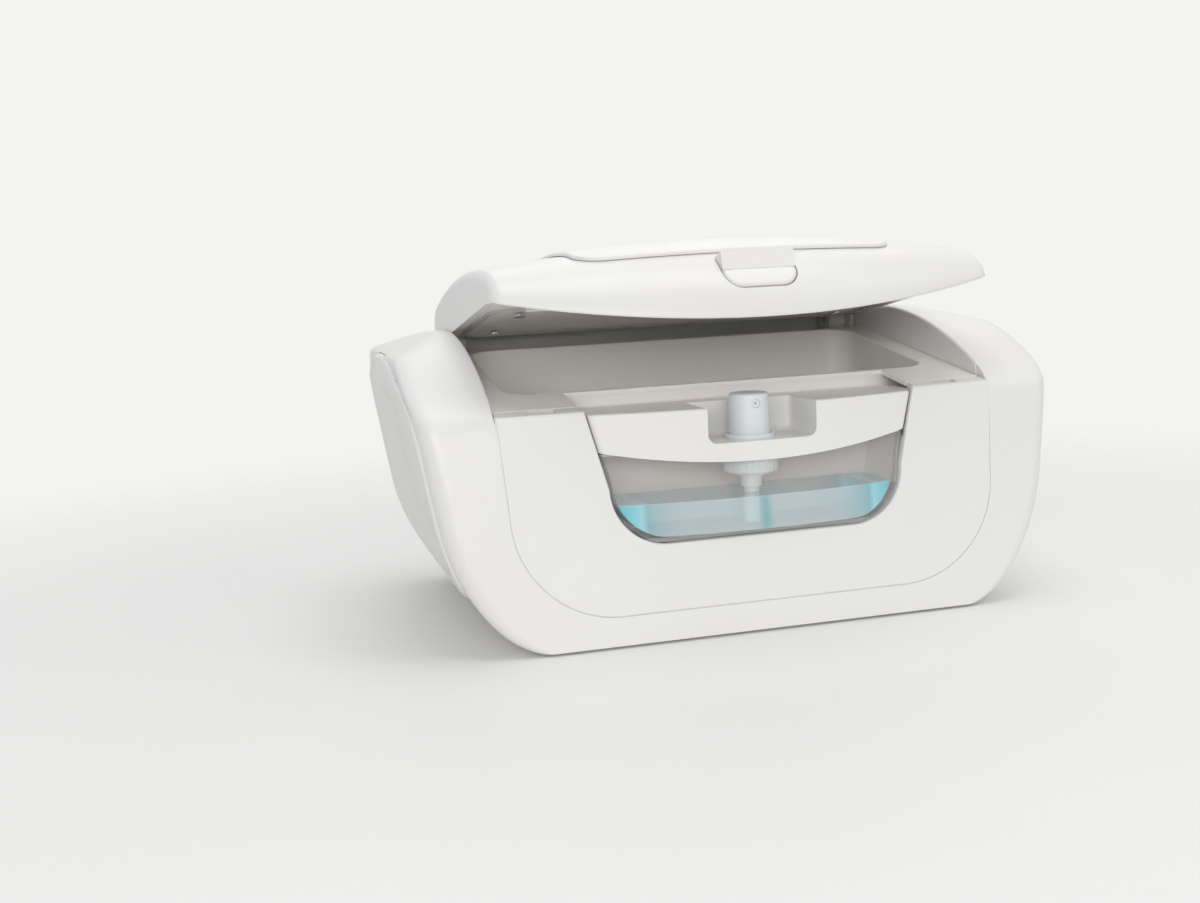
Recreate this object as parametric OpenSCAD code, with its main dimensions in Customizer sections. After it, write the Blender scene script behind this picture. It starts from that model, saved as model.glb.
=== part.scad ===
// Baby wipe warmer with a front water tank, a mist pump and a hinged lid.
// Millimetres. +X is the width, +Y points to the rear, +Z is up.
// The origin is under the middle of the whole object, with its lid part open.
// Heights are above the surface it stands on. Depths are given from a middle
// line of the housing, and frame_y moves that line to its place in the frame.

/* [Housing] */
// Greatest width, across the shoulders
body_w = 299; // [285:1:320]
// Width of the flat underside
base_w = 194; // [180:1:210]
// Height of the ears at the two ends
ear_h = 134; // [130:1:142]
// Width between the ears, where the lid lies
bay_w = 230; // [224:1:236]
// Depth of the front face ahead of the middle line, at the table
front_d = 91.7; // [88:0.5:96]
// Depth of the rear face behind the middle line
rear_d = 88; // [86.5:0.5:94]
// Backward lean of the front face, in degrees
front_lean = 6.4; // [4:0.2:8]
// Radius of the arch along the top of each ear
ear_arch_r = 220; // [200:5:260]
// Place of the arch's highest point behind the middle line
ear_top_y = 34; // [28:1:40]
// Height of the shoulder, below which the ends taper
shoulder_z = 112; // [105:1:118]
// Height of the round from the ends to the underside
base_round_h = 60; // [50:1:70]
// Round of the ears' outer top edges
ear_round = 10; // [6:1:14]
// Round of the upright corners, seen from above
corner_r = 15; // [11:1:18]
// Wall of the housing
shell_t = 2.6; // [2.2:0.1:3.2]
// Height of the housing's lower edge above the table
base_z = 1.2; // [0.8:0.1:1.6]
// Depth of the finger dish in each end
dish_d = 6; // [4:0.5:8]
// Width of the rim round each dish
dish_rim = 7; // [5:0.5:10]

/* [Front panel] */
// Height of the panel's upper edge
panel_top_z = 100.2; // [98:0.2:101]
// Width of the panel along its upper edge
panel_w = 229; // [225:0.5:229.2]
// Height of the panel's lower edge
panel_low_z = 14; // [12:1:18]
// Radius of the panel's lower corners
panel_r = 46; // [38:1:50]
// Thickness of the panel
panel_t = 2.6; // [2.2:0.1:3]
// Gap round the panel and the end caps
seam = 0.4; // [0.3:0.1:0.6]
// Distance of each latch slot from the middle
slot_x = 94; // [90:1:98]
// Width of each latch slot
slot_w = 12; // [10:1:14]

/* [Rim and tub] */
// Height of the parting line at its front end
rim_z = 102.7; // [102.2:0.1:103.4]
// Rise of the parting line to the rear, in degrees
rim_rise = 8.8; // [8.2:0.2:9.2]
// Width of the wipe compartment
tub_w = 206; // [196:1:208]
// Front wall of the compartment, ahead of the middle line
tub_front = 44; // [41:1:45]
// Rear wall of the compartment, behind the middle line
tub_rear = 49; // [45:1:50]
// Height of the compartment's floor
tub_floor_z = 30; // [28:1:36]
// Wall of the tub
tub_t = 2; // [1.6:0.1:2.4]

/* [Water tank] */
// Width of the window at the panel's upper edge
window_w = 152; // [148:1:154]
// Width of the window where its lower corners begin
window_low_w = 136; // [128:1:138]
// Height of the window's lower edge
window_z = 43; // [40:1:48]
// Radius of the window's lower corners
window_r = 25; // [20:1:28]
// Gap between the window and the tank
tank_gap = 0.4; // [0.3:0.1:0.6]
// Wall of the tank
tank_t = 2; // [1.6:0.1:2.2]
// Rear face of the tank, ahead of the middle line
tank_back = 50; // [49:0.5:54]
// Forward bow of the tank's front at the middle
tank_bow = 5.5; // [4.5:0.1:5.6]
// Height of the tank's rim
tank_rim_z = 81.5; // [80.5:0.5:82]
// Height of the water
water_z = 60; // [50:1:66]

/* [Tank cap] */
// Height of the cap's top
cap_z = 100; // [99:0.5:100.8]
// Width of the cap
cap_w = 151; // [148:1:151]
// Forward bow of the cap's front at the middle
cap_bow = 10.5; // [10:0.5:11]
// Height of the skirt's lower edge at the middle
skirt_z = 76; // [75:0.5:78]
// Rise of the skirt's lower edge from the middle to the ends
skirt_rise = 8.2; // [7.8:0.1:8.8]
// Wall of the cap
cap_t = 2; // [1.6:0.1:2.2]
// Width of the notch for the nozzle
notch_w = 50; // [46:1:54]
// Rear wall of the notch, ahead of the middle line
notch_back = 60; // [57:1:62]
// Thickness of the gasket under the cap
gasket_t = 1; // [0.8:0.1:1.4]

/* [Mist pump] */
// Distance of the pump behind the foot of the front face
pump_in = 18.2; // [17.9:0.1:18.7]
// Diameter of the nozzle at its foot
nozzle_d = 18.5; // [17:0.5:19]
// Height of the nozzle's top when it is up
nozzle_z = 104; // [103:0.2:104]
// Travel of the nozzle
nozzle_travel = 3.5; // [2.5:0.1:3.6]
// Diameter of the collar under the notch's floor
collar_d = 24; // [23:0.2:24.6]
// Height of the collar's lower end
collar_z = 69; // [67:0.5:70]
// Bore of the pump cylinder
pump_bore = 10; // [8:0.5:11]
// Diameter of the dip tube
dip_d = 7; // [5:0.5:8]

/* [Lid] */
// Opening of the lid as it stands here, in degrees
lid_open = 18; // [10:1:30]
// Place of the hinge behind the middle line
hinge_y = 71; // [70:0.5:71.5]
// Height of the hinge
hinge_z = 126; // [125:0.5:127]
// Diameter of the hinge pins
pin_d = 5; // [4:0.5:6]
// Radius of the lid's rear edge about the hinge
knuckle_r = 15; // [13:0.5:15]
// Radius of the lid's top from front to rear
crown_r = 400; // [370:5:440]
// Height of the closed lid's highest point, without its plate
crown_z = 154.8; // [152:0.2:157]
// Fall of the lid's top from the middle to each end
crown_drop = 8; // [6:0.5:10]
// Forward bow of the lid's front edge at the middle
lip_bow = 15; // [14:0.5:17]
// Drop of the lid's front edge at the middle
lip_drop = 17.5; // [14:0.5:19]
// Wall of the lid
lid_t = 2.6; // [2.2:0.1:3]
// Gap between each end of the lid and its ear
lid_gap = 0.6; // [0.4:0.1:1]
// Width of the raised plate on the lid
plate_w = 148; // [130:1:160]
// Rise of the plate above the lid
plate_t = 1.6; // [1:0.1:2]

/* [Latch] */
// Width of the push button
button_w = 33; // [30:1:36]
// Height of the closed button's lower edge
button_z = 97.5; // [95:0.5:99]
// Height of the push button
button_h = 18; // [15:0.5:18.5]
// Travel of the button and the latch bar
latch_travel = 2; // [1:0.1:2]

/* [Feet and heater] */
// Diameter of each foot
foot_d = 14; // [10:1:18]
// Distance of the feet from the middle, across
foot_x = 74; // [66:1:78]
// Diameter of the screws
screw_d = 3; // [2.5:0.1:3.5]
// Size of the heater plate, across
heater_w = 180; // [150:1:190]
// Size of the heater plate, front to rear
heater_d = 78; // [60:1:84]
// Size of the control board, across
board_w = 90; // [70:1:110]
// Size of the control board, front to rear
board_d = 50; // [45:1:60]

/* [Hidden] */

shell_white = [0.93, 0.93, 0.91];
cap_white = [0.96, 0.96, 0.95];
tub_white = [0.90, 0.88, 0.84];
clear_blue = [0.80, 0.93, 0.96, 0.45];
water_blue = [0.45, 0.80, 0.88, 0.7];
pump_white = [0.90, 0.95, 0.98];
soft_grey = [0.55, 0.56, 0.57];
steel = [0.70, 0.71, 0.73];
alloy = [0.78, 0.79, 0.80];
board_green = [0.12, 0.38, 0.25];
jack_black = [0.10, 0.10, 0.11];

// Faces that lie against each other without pressing
touch = 0.1;
// Clearance of a part that slides or turns in another
slide_gap = 0.3;
pin_gap = 0.05;
held_gap = 0.01;
// How far a cut runs past the face it opens
past = 1;
far = 400;
round_n = 48;

front_slope = tan(front_lean);
bay_half = bay_w / 2;
lid_half = bay_half - lid_gap;
hinge_gap = 1.5;
trough_r = knuckle_r + hinge_gap;
trough_in = 0.3;

// Blends
function smooth_max(a, b, k) = (a + b + sqrt((a - b) * (a - b) + k * k)) / 2;
function smooth_min(a, b, k) = (a + b - sqrt((a - b) * (a - b) + k * k)) / 2;
function limit(v, lo, hi) = max(lo, min(hi, v));
function reversed(list) = [for (i = [len(list) - 1:-1:0]) list[i]];

// Outer form of the housing: at each height a rounded rectangle
arch_flat = 0.4;
arch_z = ear_h + arch_flat - ear_arch_r;
function arch_half(z) = sqrt(ear_arch_r * ear_arch_r - (z - arch_z) * (z - arch_z));
function face_y(z) = z * front_slope - front_d;
front_blend = 7;
rear_blend = 16;
function front_y(z) = smooth_max(face_y(z), ear_top_y - arch_half(z), front_blend);
function rear_y(z) = smooth_min(rear_d, ear_top_y + arch_half(z), rear_blend);
side_flare = 0.155;
function flare_half(z) = body_w / 2 - side_flare * max(0, shoulder_z - z);
base_cut = flare_half(0) - base_w / 2;
function quarter_round(t) = 1 - sqrt(1 - t * t);
function half_w(z) = flare_half(z)
    - base_cut * quarter_round(limit(1 - z / base_round_h, 0, 1))
    - ear_round * quarter_round(limit((z - ear_h + ear_round) / ear_round, 0, 1));

corner_steps = 5;
function corner(cx, cy, r, a0, z) =
    [for (i = [0:corner_steps]) let (a = a0 + 90 * i / corner_steps)
        [cx + r * cos(a), cy + r * sin(a), z]];
function ring(hw, y0, y1, r, z) = concat(
    corner(hw - r, y1 - r, r, 0, z), corner(r - hw, y1 - r, r, 90, z),
    corner(r - hw, y0 + r, r, 180, z), corner(hw - r, y0 + r, r, 270, z));
// A section of the housing, drawn in by t, at height z
function lift(z, t) = t * limit((z - base_round_h) / (ear_h - base_round_h) * 2, 0, 1);
function body_ring(z, t) = let (zo = z + lift(z, t), y0 = front_y(zo) + t, y1 = rear_y(zo) - t)
    ring(half_w(zo) - t, y0, y1, min(corner_r, (y1 - y0) / 2 - 1), z);

// A solid through rings of equal length, each turning left about the way along
module loft(rings) {
    n = len(rings[0]);
    m = len(rings);
    polyhedron(points = [for (r = rings) each r], faces = concat(
        [[for (i = [0:n - 1]) i], [for (i = [n - 1:-1:0]) (m - 1) * n + i]],
        [for (j = [0:m - 2], i = [0:n - 1]) let (a = j * n + i, b = j * n + (i + 1) % n)
            [a, a + n, b + n]],
        [for (j = [0:m - 2], i = [0:n - 1]) let (a = j * n + i, b = j * n + (i + 1) % n)
            [a, b + n, b]]), convexity = 8);
}

body_steps = 24;
module body_form(t, z0, z1) {
    loft([for (i = [0:body_steps]) body_ring(z0 + (z1 - z0) * (1 - cos(180 * i / body_steps)) / 2, t)]);
}

// The box between two corners
module block(lo, hi) { translate(lo) cube(hi - lo); }
// The same box on both ends of the object
module both_sides() {
    children();
    mirror([1, 0, 0]) children();
}
module rounded_rect(lo, hi, r) {
    translate([lo[0] + r, lo[1]]) square([hi[0] - lo[0] - 2 * r, hi[1] - lo[1]]);
    translate([lo[0], lo[1] + r]) square([hi[0] - lo[0], hi[1] - lo[1] - 2 * r]);
    for (x = [lo[0] + r, hi[0] - r], y = [lo[1] + r, hi[1] - r])
        translate([x, y]) circle(r, $fn = round_n);
}
module rod(r, z0, z1) { translate([0, 0, z0]) cylinder(r = r, h = z1 - z0, $fn = round_n); }
// A rod along X
module axle(r, x0, x1, y, z) {
    translate([x0, y, z]) rotate([0, 90, 0]) cylinder(r = r, h = x1 - x0, $fn = round_n);
}
// A flat outline in X and Z, run along Y
module run_y(y0, y1) { translate([0, y1, 0]) rotate([90, 0, 0]) linear_extrude(y1 - y0) children(); }
// A flat outline in Y and Z, run along X
module run_x(x0, x1) {
    translate([x0, 0, 0]) rotate([90, 0, 90]) linear_extrude(x1 - x0) children();
}

// The parting plane: y runs up it and z stands square to it
rim_y = 76;
rim_back = 20.4 - front_d;
module on_rim() { translate([0, -rim_y, rim_z]) rotate([rim_rise, 0, 0]) children(); }
function rim_at(y) = rim_z + (y + rim_y) * tan(rim_rise);
function rim_u(y) = (y + rim_y) / cos(rim_rise);
rim_gap = 0.4;

// The whole object stands over its origin
lip_front = [-(front_d - rim_z * front_slope) - 1.5, rim_z - 1.3];
lip_mid = lip_front - [lip_bow, lip_drop];
open_front_y = hinge_y + (lip_mid[0] - hinge_y) * cos(lid_open) + (lip_mid[1] - hinge_z) * sin(lid_open);
frame_y = -(open_front_y + rear_y(base_z)) / 2;
module in_frame() { translate([0, frame_y, 0]) children(); }
module in_lid() {
    in_frame() translate([0, hinge_y, hinge_z]) rotate([-lid_open, 0, 0])
        translate([0, -hinge_y, -hinge_z]) children();
}

// End caps: a dished plate inside a rim, in the outline below
cap_low = 17;
cap_high = ear_h - 8;
cap_steps = 13;
cap_cols = 8;
cap_rise = 0.5;
cap_front_in = 15;
cap_rear_in = 12;
function cap_v(z) = 2 * (z - cap_low) / (cap_high - cap_low) - 1;
function cap_narrow(z) = pow(1 - pow(abs(cap_v(z)), 4), 0.4);
function cap_mid(z) = (front_y(z) + cap_front_in + rear_y(z) - cap_rear_in) / 2;
function cap_half(z) = (rear_y(z) - cap_rear_in - front_y(z) - cap_front_in) / 2 * cap_narrow(z);
function cap_z(i) = let (v = -cos(180 * (i + 0.35) / (cap_steps + 0.7)))
    cap_low + (cap_high - cap_low) * (v + 1) / 2;
function dish(y, z) = let (
    u = (y - cap_mid(z)) / max(1, cap_half(z) - dish_rim),
    v = cap_v(z) / (1 - 2 * dish_rim / (cap_high - cap_low)),
    r = min(1, pow(pow(abs(u), 3) + pow(abs(v), 3), 1 / 3)))
    dish_d * (1 - r * r) * (1 - r * r);
cap_bulge = 0.6;
function cap_row(z, inset) = [for (i = [0:cap_cols]) let (
        u = 2 * i / cap_cols - 1, y = cap_mid(z) + cap_half(z) * u)
        [half_w(z) + cap_rise + cap_bulge * (1 - u * u) - dish(y, z) - inset, y, z]];
module side_cap_form() {
    loft([for (i = [0:cap_steps]) let (z = cap_z(i))
        concat(cap_row(z, 0), reversed(cap_row(z, shell_t)))]);
}
module side_cap_hole() {
    run_x(bay_half + 2 * shell_t, far) polygon(concat(
        [for (i = [0:cap_steps]) [cap_mid(cap_z(i)) + cap_half(cap_z(i)) + seam, cap_z(i)
            + (i == 0 ? -seam : i == cap_steps ? seam : 0)]],
        [for (i = [cap_steps:-1:0]) [cap_mid(cap_z(i)) - cap_half(cap_z(i)) - seam, cap_z(i)
            + (i == 0 ? -seam : i == cap_steps ? seam : 0)]]));
}

// Outline of the front panel, grown by d
panel_round_n = 8;
panel_side_z = panel_low_z + panel_r;
panel_side_x = panel_w / 2 - 2.5;
function panel_half(d) = concat(
    [[panel_w / 2 + d, panel_top_z + max(0, d)], [panel_side_x + d, panel_side_z]],
    [for (i = [1:panel_round_n]) let (a = -90 * i / panel_round_n)
        [panel_side_x - panel_r + (panel_r + d) * cos(a), panel_side_z + (panel_r + d) * sin(a)]]);
module panel_outline(d, top) {
    half = [for (p = panel_half(d)) [p[0], min(p[1], top)]];
    polygon(concat(half, [for (p = reversed(half)) [-p[0], p[1]]]));
}

// Outline of the tank's window, drawn in by d
window_side_z = window_z + window_r;
function window_half(d, top) = let (
    side = window_low_w / 2 - d, lean = (window_w - window_low_w) / 2 / (panel_top_z - window_side_z))
    concat([[side + (top - window_side_z) * lean, top], [side, window_side_z]],
        [for (i = [1:panel_round_n]) let (a = -90 * i / panel_round_n)
            [window_low_w / 2 - window_r + (window_r - d) * cos(a),
                window_side_z + (window_r - d) * sin(a)]]);
module window_outline(d, top) {
    half = window_half(d, top);
    polygon(concat(half, [for (p = reversed(half)) [-p[0], p[1]]]));
}

// Lies on the leaning front face: y = 0 there is the face itself
module on_face() { translate([0, -front_d, 0]) rotate([-front_lean, 0, 0]) children(); }

// Places of screws
base_screw_x = base_w / 2 - 8;
base_screw_ys = [29.7 - front_d, 0, rear_d - 30];
base_in = 5;
base_edge_r = 10;
floor_z = base_z + 2.2;
ledge_t = 2.2;
inner_z = floor_z + ledge_t;
module base_area(inset) {
    rounded_rect([inset - base_w / 2, inset - front_d + 1], [base_w / 2 - inset, rear_d - inset - 1],
        base_edge_r);
}
screw_r = screw_d / 2;
pilot_r = screw_r * 0.85;
boss_r = screw_r + 2.2;
boss_h = 12;

// The socket for the supply lead, in the rear wall
jack_x = 58;
jack_z = 20;
jack_r = 4.5;

ear_wall = 2.6;
ledge_in = 7;
rim_seat = 2.5;
pin_boss_r = pin_d / 2 + 4;
pin_boss_l = 8;
pin_in = 13;

module shell_inside() {
    difference() {
        body_form(shell_t, inner_z, ear_h - shell_t);
        both_sides() {
            block([bay_half - 0.4, -far, panel_top_z - 6], [bay_half + ear_wall, far, far]);
            on_rim() block([bay_half - ledge_in, rim_u(23.7 - front_d), -rim_seat - 2.6],
                [bay_half + ear_wall, rim_u(tub_rear), -rim_seat]);
            axle(pin_boss_r, bay_half, bay_half + pin_boss_l, hinge_y, hinge_z);
            for (y = base_screw_ys) translate([base_screw_x, y, 0]) rod(boss_r, 0, floor_z + boss_h);
        }
        axle(trough_r + 2.2, -bay_half - 1, bay_half + 1, hinge_y, hinge_z);
        translate([jack_x, 0, jack_z]) rotate([-90, 0, 0]) rod(jack_r + 2.5, rear_d - 6, rear_d);
    }
}

// Space for the lid between the ears, above the rim
deck_z = hinge_z - trough_r;
module lid_bay() {
    on_rim() block([-bay_half, -far, -rim_seat], [bay_half, far, far]);
    axle(trough_r, -bay_half - trough_in, bay_half + trough_in, hinge_y, hinge_z);
    block([-bay_half, -far, panel_top_z - past], [bay_half, rim_back, far]);
    block([-bay_half, hinge_y, deck_z], [bay_half, far, far]);
}

module outer_shell() {
    color(shell_white) in_frame() difference() {
        body_form(0, base_z, ear_h);
        shell_inside();
        lid_bay();
        on_face() run_y(-past - cap_bow, 12) panel_outline(seam, far);
        side_cap_hole();
        mirror([1, 0, 0]) side_cap_hole();
        translate([0, 0, base_z - past]) linear_extrude(floor_z - base_z + past) base_area(base_in - touch);
        translate([0, 0, base_z]) linear_extrude(inner_z) difference() {
            base_area(base_in + 6);
            both_sides() for (y = base_screw_ys) translate([base_screw_x, y]) circle(boss_r, $fn = round_n);
        }
        both_sides() {
            for (y = base_screw_ys) translate([base_screw_x, y, 0]) rod(pilot_r, 0, floor_z + boss_h - 2);
            axle(pin_d / 2 + held_gap, bay_half - past, bay_half + pin_boss_l + past, hinge_y, hinge_z);
        }
        translate([jack_x, 0, jack_z]) rotate([-90, 0, 0]) rod(jack_r, rear_d - 8, rear_d + past);
    }
}

// Panel with its window, a turned-back rim with two latch slots, and a rear flange
rim_front = 11.5 - front_d;
rim_low = -3.2;
slot_front = 14.1 - front_d;
slot_back = 19.9 - front_d;
flange_y = shell_t + 0.6;
flange_end = flange_y + 1.4;
flange_top = panel_top_z - 20;
module front_panel() {
    color(shell_white) in_frame() difference() {
        union() {
            on_face() run_y(0, panel_t) panel_outline(0, far);
            on_face() run_y(flange_y, flange_end) panel_outline(3, flange_top);
            on_face() run_y(panel_t, flange_y) panel_outline(-1, flange_top);
            both_sides() on_rim() block([window_w / 2 + 2, rim_u(rim_front), rim_low],
                [panel_w / 2, rim_u(rim_back), -rim_gap]);
        }
        on_face() run_y(-past, 12) window_outline(0, far);
        both_sides() block([slot_x - slot_w / 2, slot_front, rim_z - 8],
            [slot_x + slot_w / 2, slot_back, far]);
    }
}

module side_cap_left() { color(shell_white) in_frame() mirror([1, 0, 0]) side_cap_form(); }
module side_cap_right() { color(shell_white) in_frame() side_cap_form(); }

foot_in = 1;
foot_front = 25.7 - front_d;
foot_rear = rear_d - 28;
post_r = 3.5;
board_x = 30;
board_y = 28;
board_t = 1.6;
board_z = floor_z + 8;
module board_corners() {
    for (x = [-1, 1], y = [-1, 1])
        translate([board_x + x * (board_w / 2 - 5), board_y + y * (board_d / 2 - 5), 0]) children();
}
module base_plate() {
    color(shell_white) in_frame() difference() {
        union() {
            translate([0, 0, base_z]) linear_extrude(floor_z - base_z - touch) base_area(base_in);
            board_corners() rod(post_r, base_z, board_z - touch);
        }
        for (x = [-foot_x, foot_x], y = [foot_front, foot_rear])
            translate([x, y, 0]) rod(foot_d / 2, 0, base_z + foot_in);
        both_sides() for (y = base_screw_ys) translate([base_screw_x, y, 0]) {
            rod(screw_r + 0.2, 0, floor_z);
            rod(screw_d, 0, base_z + 0.9);
        }
        board_corners() rod(pilot_r, board_z - 6, board_z);
    }
}

module foot(x, y) {
    color(soft_grey) in_frame() translate([x, y, 0]) rod(foot_d / 2 - touch, 0, base_z + foot_in);
}
module foot_front_left() { foot(-foot_x, foot_front); }
module foot_front_right() { foot(foot_x, foot_front); }
module foot_rear_left() { foot(-foot_x, foot_rear); }
module foot_rear_right() { foot(foot_x, foot_rear); }

// A screw with its head down, from z, and l long under the head
module screw_up(z, l) {
    rod(screw_d * 0.95, z, z + 0.8);
    rod(pilot_r - 0.02, z + 0.7, z + l);
}
module base_screws() {
    color(steel) in_frame() both_sides() for (y = base_screw_ys)
        translate([base_screw_x, y, 0]) screw_up(base_z + 0.05, 9);
}

// Wipe compartment, hung by its flange on the parting plane
tub_r = 12;
well_half = cap_w / 2 + 2;
well_back = tank_back - 2;
module tub_body(grow, z) {
    translate([0, 0, z]) linear_extrude(far) rounded_rect(
        [-tub_w / 2 - grow, -tub_front - grow], [tub_w / 2 + grow, tub_rear + grow], tub_r + grow);
}
module wipe_tub() {
    color(tub_white) in_frame() difference() {
        union() {
            tub_body(tub_t, tub_floor_z - tub_t);
            on_rim() translate([0, 0, -rim_gap - tub_t]) linear_extrude(tub_t) rounded_rect(
                [-bay_half + seam, rim_u(rim_back + touch)],
                [bay_half - seam, rim_u(hinge_y - trough_r - 2.2 - touch)], 1.5);
        }
        tub_body(0, tub_floor_z);
        on_rim() block([-far, -far, -rim_gap], [far, far, far]);
        block([-well_half, -far, -past], [well_half, -tub_front - tub_t - 1, far]);
    }
}

// Bay that the water tank drops into
well_t = 1.8;
well_floor = window_z + tank_gap - 0.3;
well_front = front_slope * panel_top_z - front_d + flange_end + 0.1;
module tank_well() {
    color(tub_white) in_frame() difference() {
        block([-well_half - touch - well_t, well_front, well_floor - well_t],
            [well_half + touch + well_t, -tub_front - tub_t - touch, cap_z]);
        block([-well_half - touch, -far, well_floor],
            [well_half + touch, -tub_front - tub_t - touch - well_t, far]);
        on_rim() block([-far, -far, rim_low - touch], [far, far, far]);
    }
}

plate_z = tub_floor_z - tub_t - touch;
heater_t = 1.5;
film_t = 0.4;
pad_t = 5.5;
heat_y = (tub_rear - tub_front) / 2;
module heater_box(w, d, z0, z1) {
    translate([0, heat_y, z0]) linear_extrude(z1 - z0) rounded_rect([-w / 2, -d / 2], [w / 2, d / 2], 4);
}
film_z = plate_z - heater_t - touch;
pad_z = film_z - film_t - touch;
stat_x = -46;
stat_r = 6.5;
fuse_x = -70;
fuse_l = 12;
module heater_plate() {
    color(alloy) in_frame() heater_box(heater_w, heater_d, plate_z - heater_t, plate_z);
}
module heater_film() {
    color([0.80, 0.50, 0.20]) in_frame() heater_box(heater_w - 10, heater_d - 10, film_z - film_t, film_z);
}
module insulation_pad() {
    color([0.85, 0.85, 0.86]) in_frame() difference() {
        heater_box(heater_w, heater_d, pad_z - pad_t, pad_z);
        translate([stat_x, heat_y, 0]) rod(stat_r + 1, 0, far);
        block([fuse_x - 8, heat_y - 5, 0], [fuse_x + fuse_l + 2, heat_y + 5, far]);
    }
}
module thermostat() {
    color(steel) in_frame() translate([stat_x, heat_y, 0]) {
        rod(stat_r, pad_z - 6, pad_z);
        for (x = [-4, 4]) translate([x - 1.5, -0.4, pad_z - 11]) cube([3, 0.8, 6]);
    }
}
module thermal_fuse() {
    color(alloy) in_frame() axle(2, fuse_x - fuse_l / 2, fuse_x + fuse_l / 2, heat_y, pad_z - 2.2);
}

module control_board() {
    color(board_green) in_frame() difference() {
        translate([board_x - board_w / 2, board_y - board_d / 2, board_z]) cube([board_w, board_d, board_t]);
        board_corners() rod(screw_r + 0.1, 0, far);
    }
}
part_z = board_z + board_t;
module board_parts() {
    color(jack_black) in_frame() translate([board_x, board_y, part_z]) {
        translate([-30, -12, 0]) cube([15, 10, 6]);
        translate([-6, -14, 0]) cube([12, 9, 3]);
        translate([12, -8, 0]) rod(3.5, 0, 6);
        translate([22, -8, 0]) rod(3.5, 0, 6);
        translate([20, 8, 0]) cube([9, 6, 5]);
        translate([-40, 4, 0]) cube([6, 9, 5]);
    }
}
module board_screws() {
    color(steel) in_frame() board_corners() {
        rod(pilot_r - 0.02, board_z - 5, part_z + touch);
        rod(screw_d * 0.95, part_z + 0.05, part_z + 1.8);
    }
}

jack_face = rear_y(jack_z) - 1;
module dc_jack() {
    color(jack_black) in_frame() difference() {
        union() {
            translate([jack_x, 0, jack_z]) rotate([-90, 0, 0]) rod(jack_r - touch, rear_d - 9, jack_face);
            block([jack_x - 5.5, rear_d - 22, jack_z - 5.5], [jack_x + 5.5, rear_d - 8.2, jack_z + 5.5]);
        }
        translate([jack_x, 0, jack_z]) rotate([-90, 0, 0]) difference() {
            rod(2.75, rear_d - 18, rear_d + past);
            rod(1, rear_d - 19, rear_d - 4);
        }
    }
}

// A round lead along hand-picked points, smoothed and swept
function spline_at(p, i, t) = let (
    a = p[max(0, i - 1)], b = p[i], c = p[i + 1], d = p[min(len(p) - 1, i + 2)])
    (2 * b + t * (c - a) + t * t * (2 * a - 5 * b + 4 * c - d) + t * t * t * (3 * b - a - 3 * c + d)) / 2;
function spline(p, n) = concat([for (i = [0:len(p) - 2], k = [0:n - 1]) spline_at(p, i, k / n)],
    [p[len(p) - 1]]);
function unit(v) = v / norm(v);
lead_sides = 8;
module lead(points, d, n) {
    path = spline(points, n);
    last = len(path) - 1;
    loft([for (i = [0:last]) let (
        dir = unit(path[min(last, i + 1)] - path[max(0, i - 1)]),
        side = unit(cross([0.13, 0.21, 1], dir)), up = cross(dir, side))
        [for (k = [0:lead_sides - 1]) let (a = 360 * k / lead_sides)
            path[i] + d / 2 * (cos(a) * side + sin(a) * up)]]);
}
lead_d = 2.4;
jack_route = [[jack_x, rear_d - 22.1, jack_z], [jack_x, rear_d - 27, jack_z],
    [57.4, rear_d - 33, 18.8], [55.6, 48, 16.6], [54.5, 44.5, 15.6],
    [54.5, 42.1, 15.5]];
heater_route = [[-10.1, 34, 15.6], [-16, 34, 15.6], [-26, 30, 15.6], [-36, 24, 15.8], [-49, 15, 16.2],
    [-56, 8, 17.2], [-58.6, 4, 19.8], [-60.4, heat_y, pad_z - 3],
    [fuse_x + fuse_l / 2 + 1.7, heat_y, pad_z - 2.2], [fuse_x + fuse_l / 2 + 0.12, heat_y, pad_z - 2.2]];
module jack_lead() { color([0.75, 0.12, 0.10]) in_frame() lead(jack_route, lead_d, 3); }
module heater_lead() { color([0.92, 0.92, 0.90]) in_frame() lead(heater_route, lead_d, 3); }

module hinge_pin(side) {
    color(steel) in_frame() mirror([side < 0 ? 1 : 0, 0, 0]) {
        axle(pin_d / 2, lid_half - pin_in, bay_half + pin_boss_l, hinge_y, hinge_z);
    }
}
module hinge_pin_left() { hinge_pin(-1); }
module hinge_pin_right() { hinge_pin(1); }

cap_half_w = cap_w / 2;
cap_bow_r = (cap_half_w * cap_half_w + cap_bow * cap_bow) / (2 * cap_bow);
// The tank's form, drawn in by d: the window's outline with a bowed, leaning front
bow_r = cap_bow_r + 20;
module tank_form(d, top) {
    intersection() {
        run_y(-far, -tank_back - d) window_outline(tank_gap + d, top);
        on_face() translate([0, bow_r - tank_bow, -20]) cylinder(r = bow_r - d, h = far, $fn = 360);
    }
}
notch_half = notch_w / 2;
module water_tank() {
    color(clear_blue) in_frame() difference() {
        tank_form(0, tank_rim_z);
        tank_form(tank_t, tank_rim_z + past);
    }
}
module water() {
    color(water_blue) in_frame() difference() {
        tank_form(tank_t + 0.05, water_z);
        translate([0, -pump_y, 0]) rod(dip_d / 2 + 0.05, dip_z - 0.05, far);
    }
}
module tank_gasket() {
    color(soft_grey) in_frame() intersection() {
        difference() {
            tank_form(0.3, far);
            tank_form(tank_t + 0.3, far);
        }
        block([-far, -far, tank_rim_z], [far, far, tank_rim_z + gasket_t]);
    }
}

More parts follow.
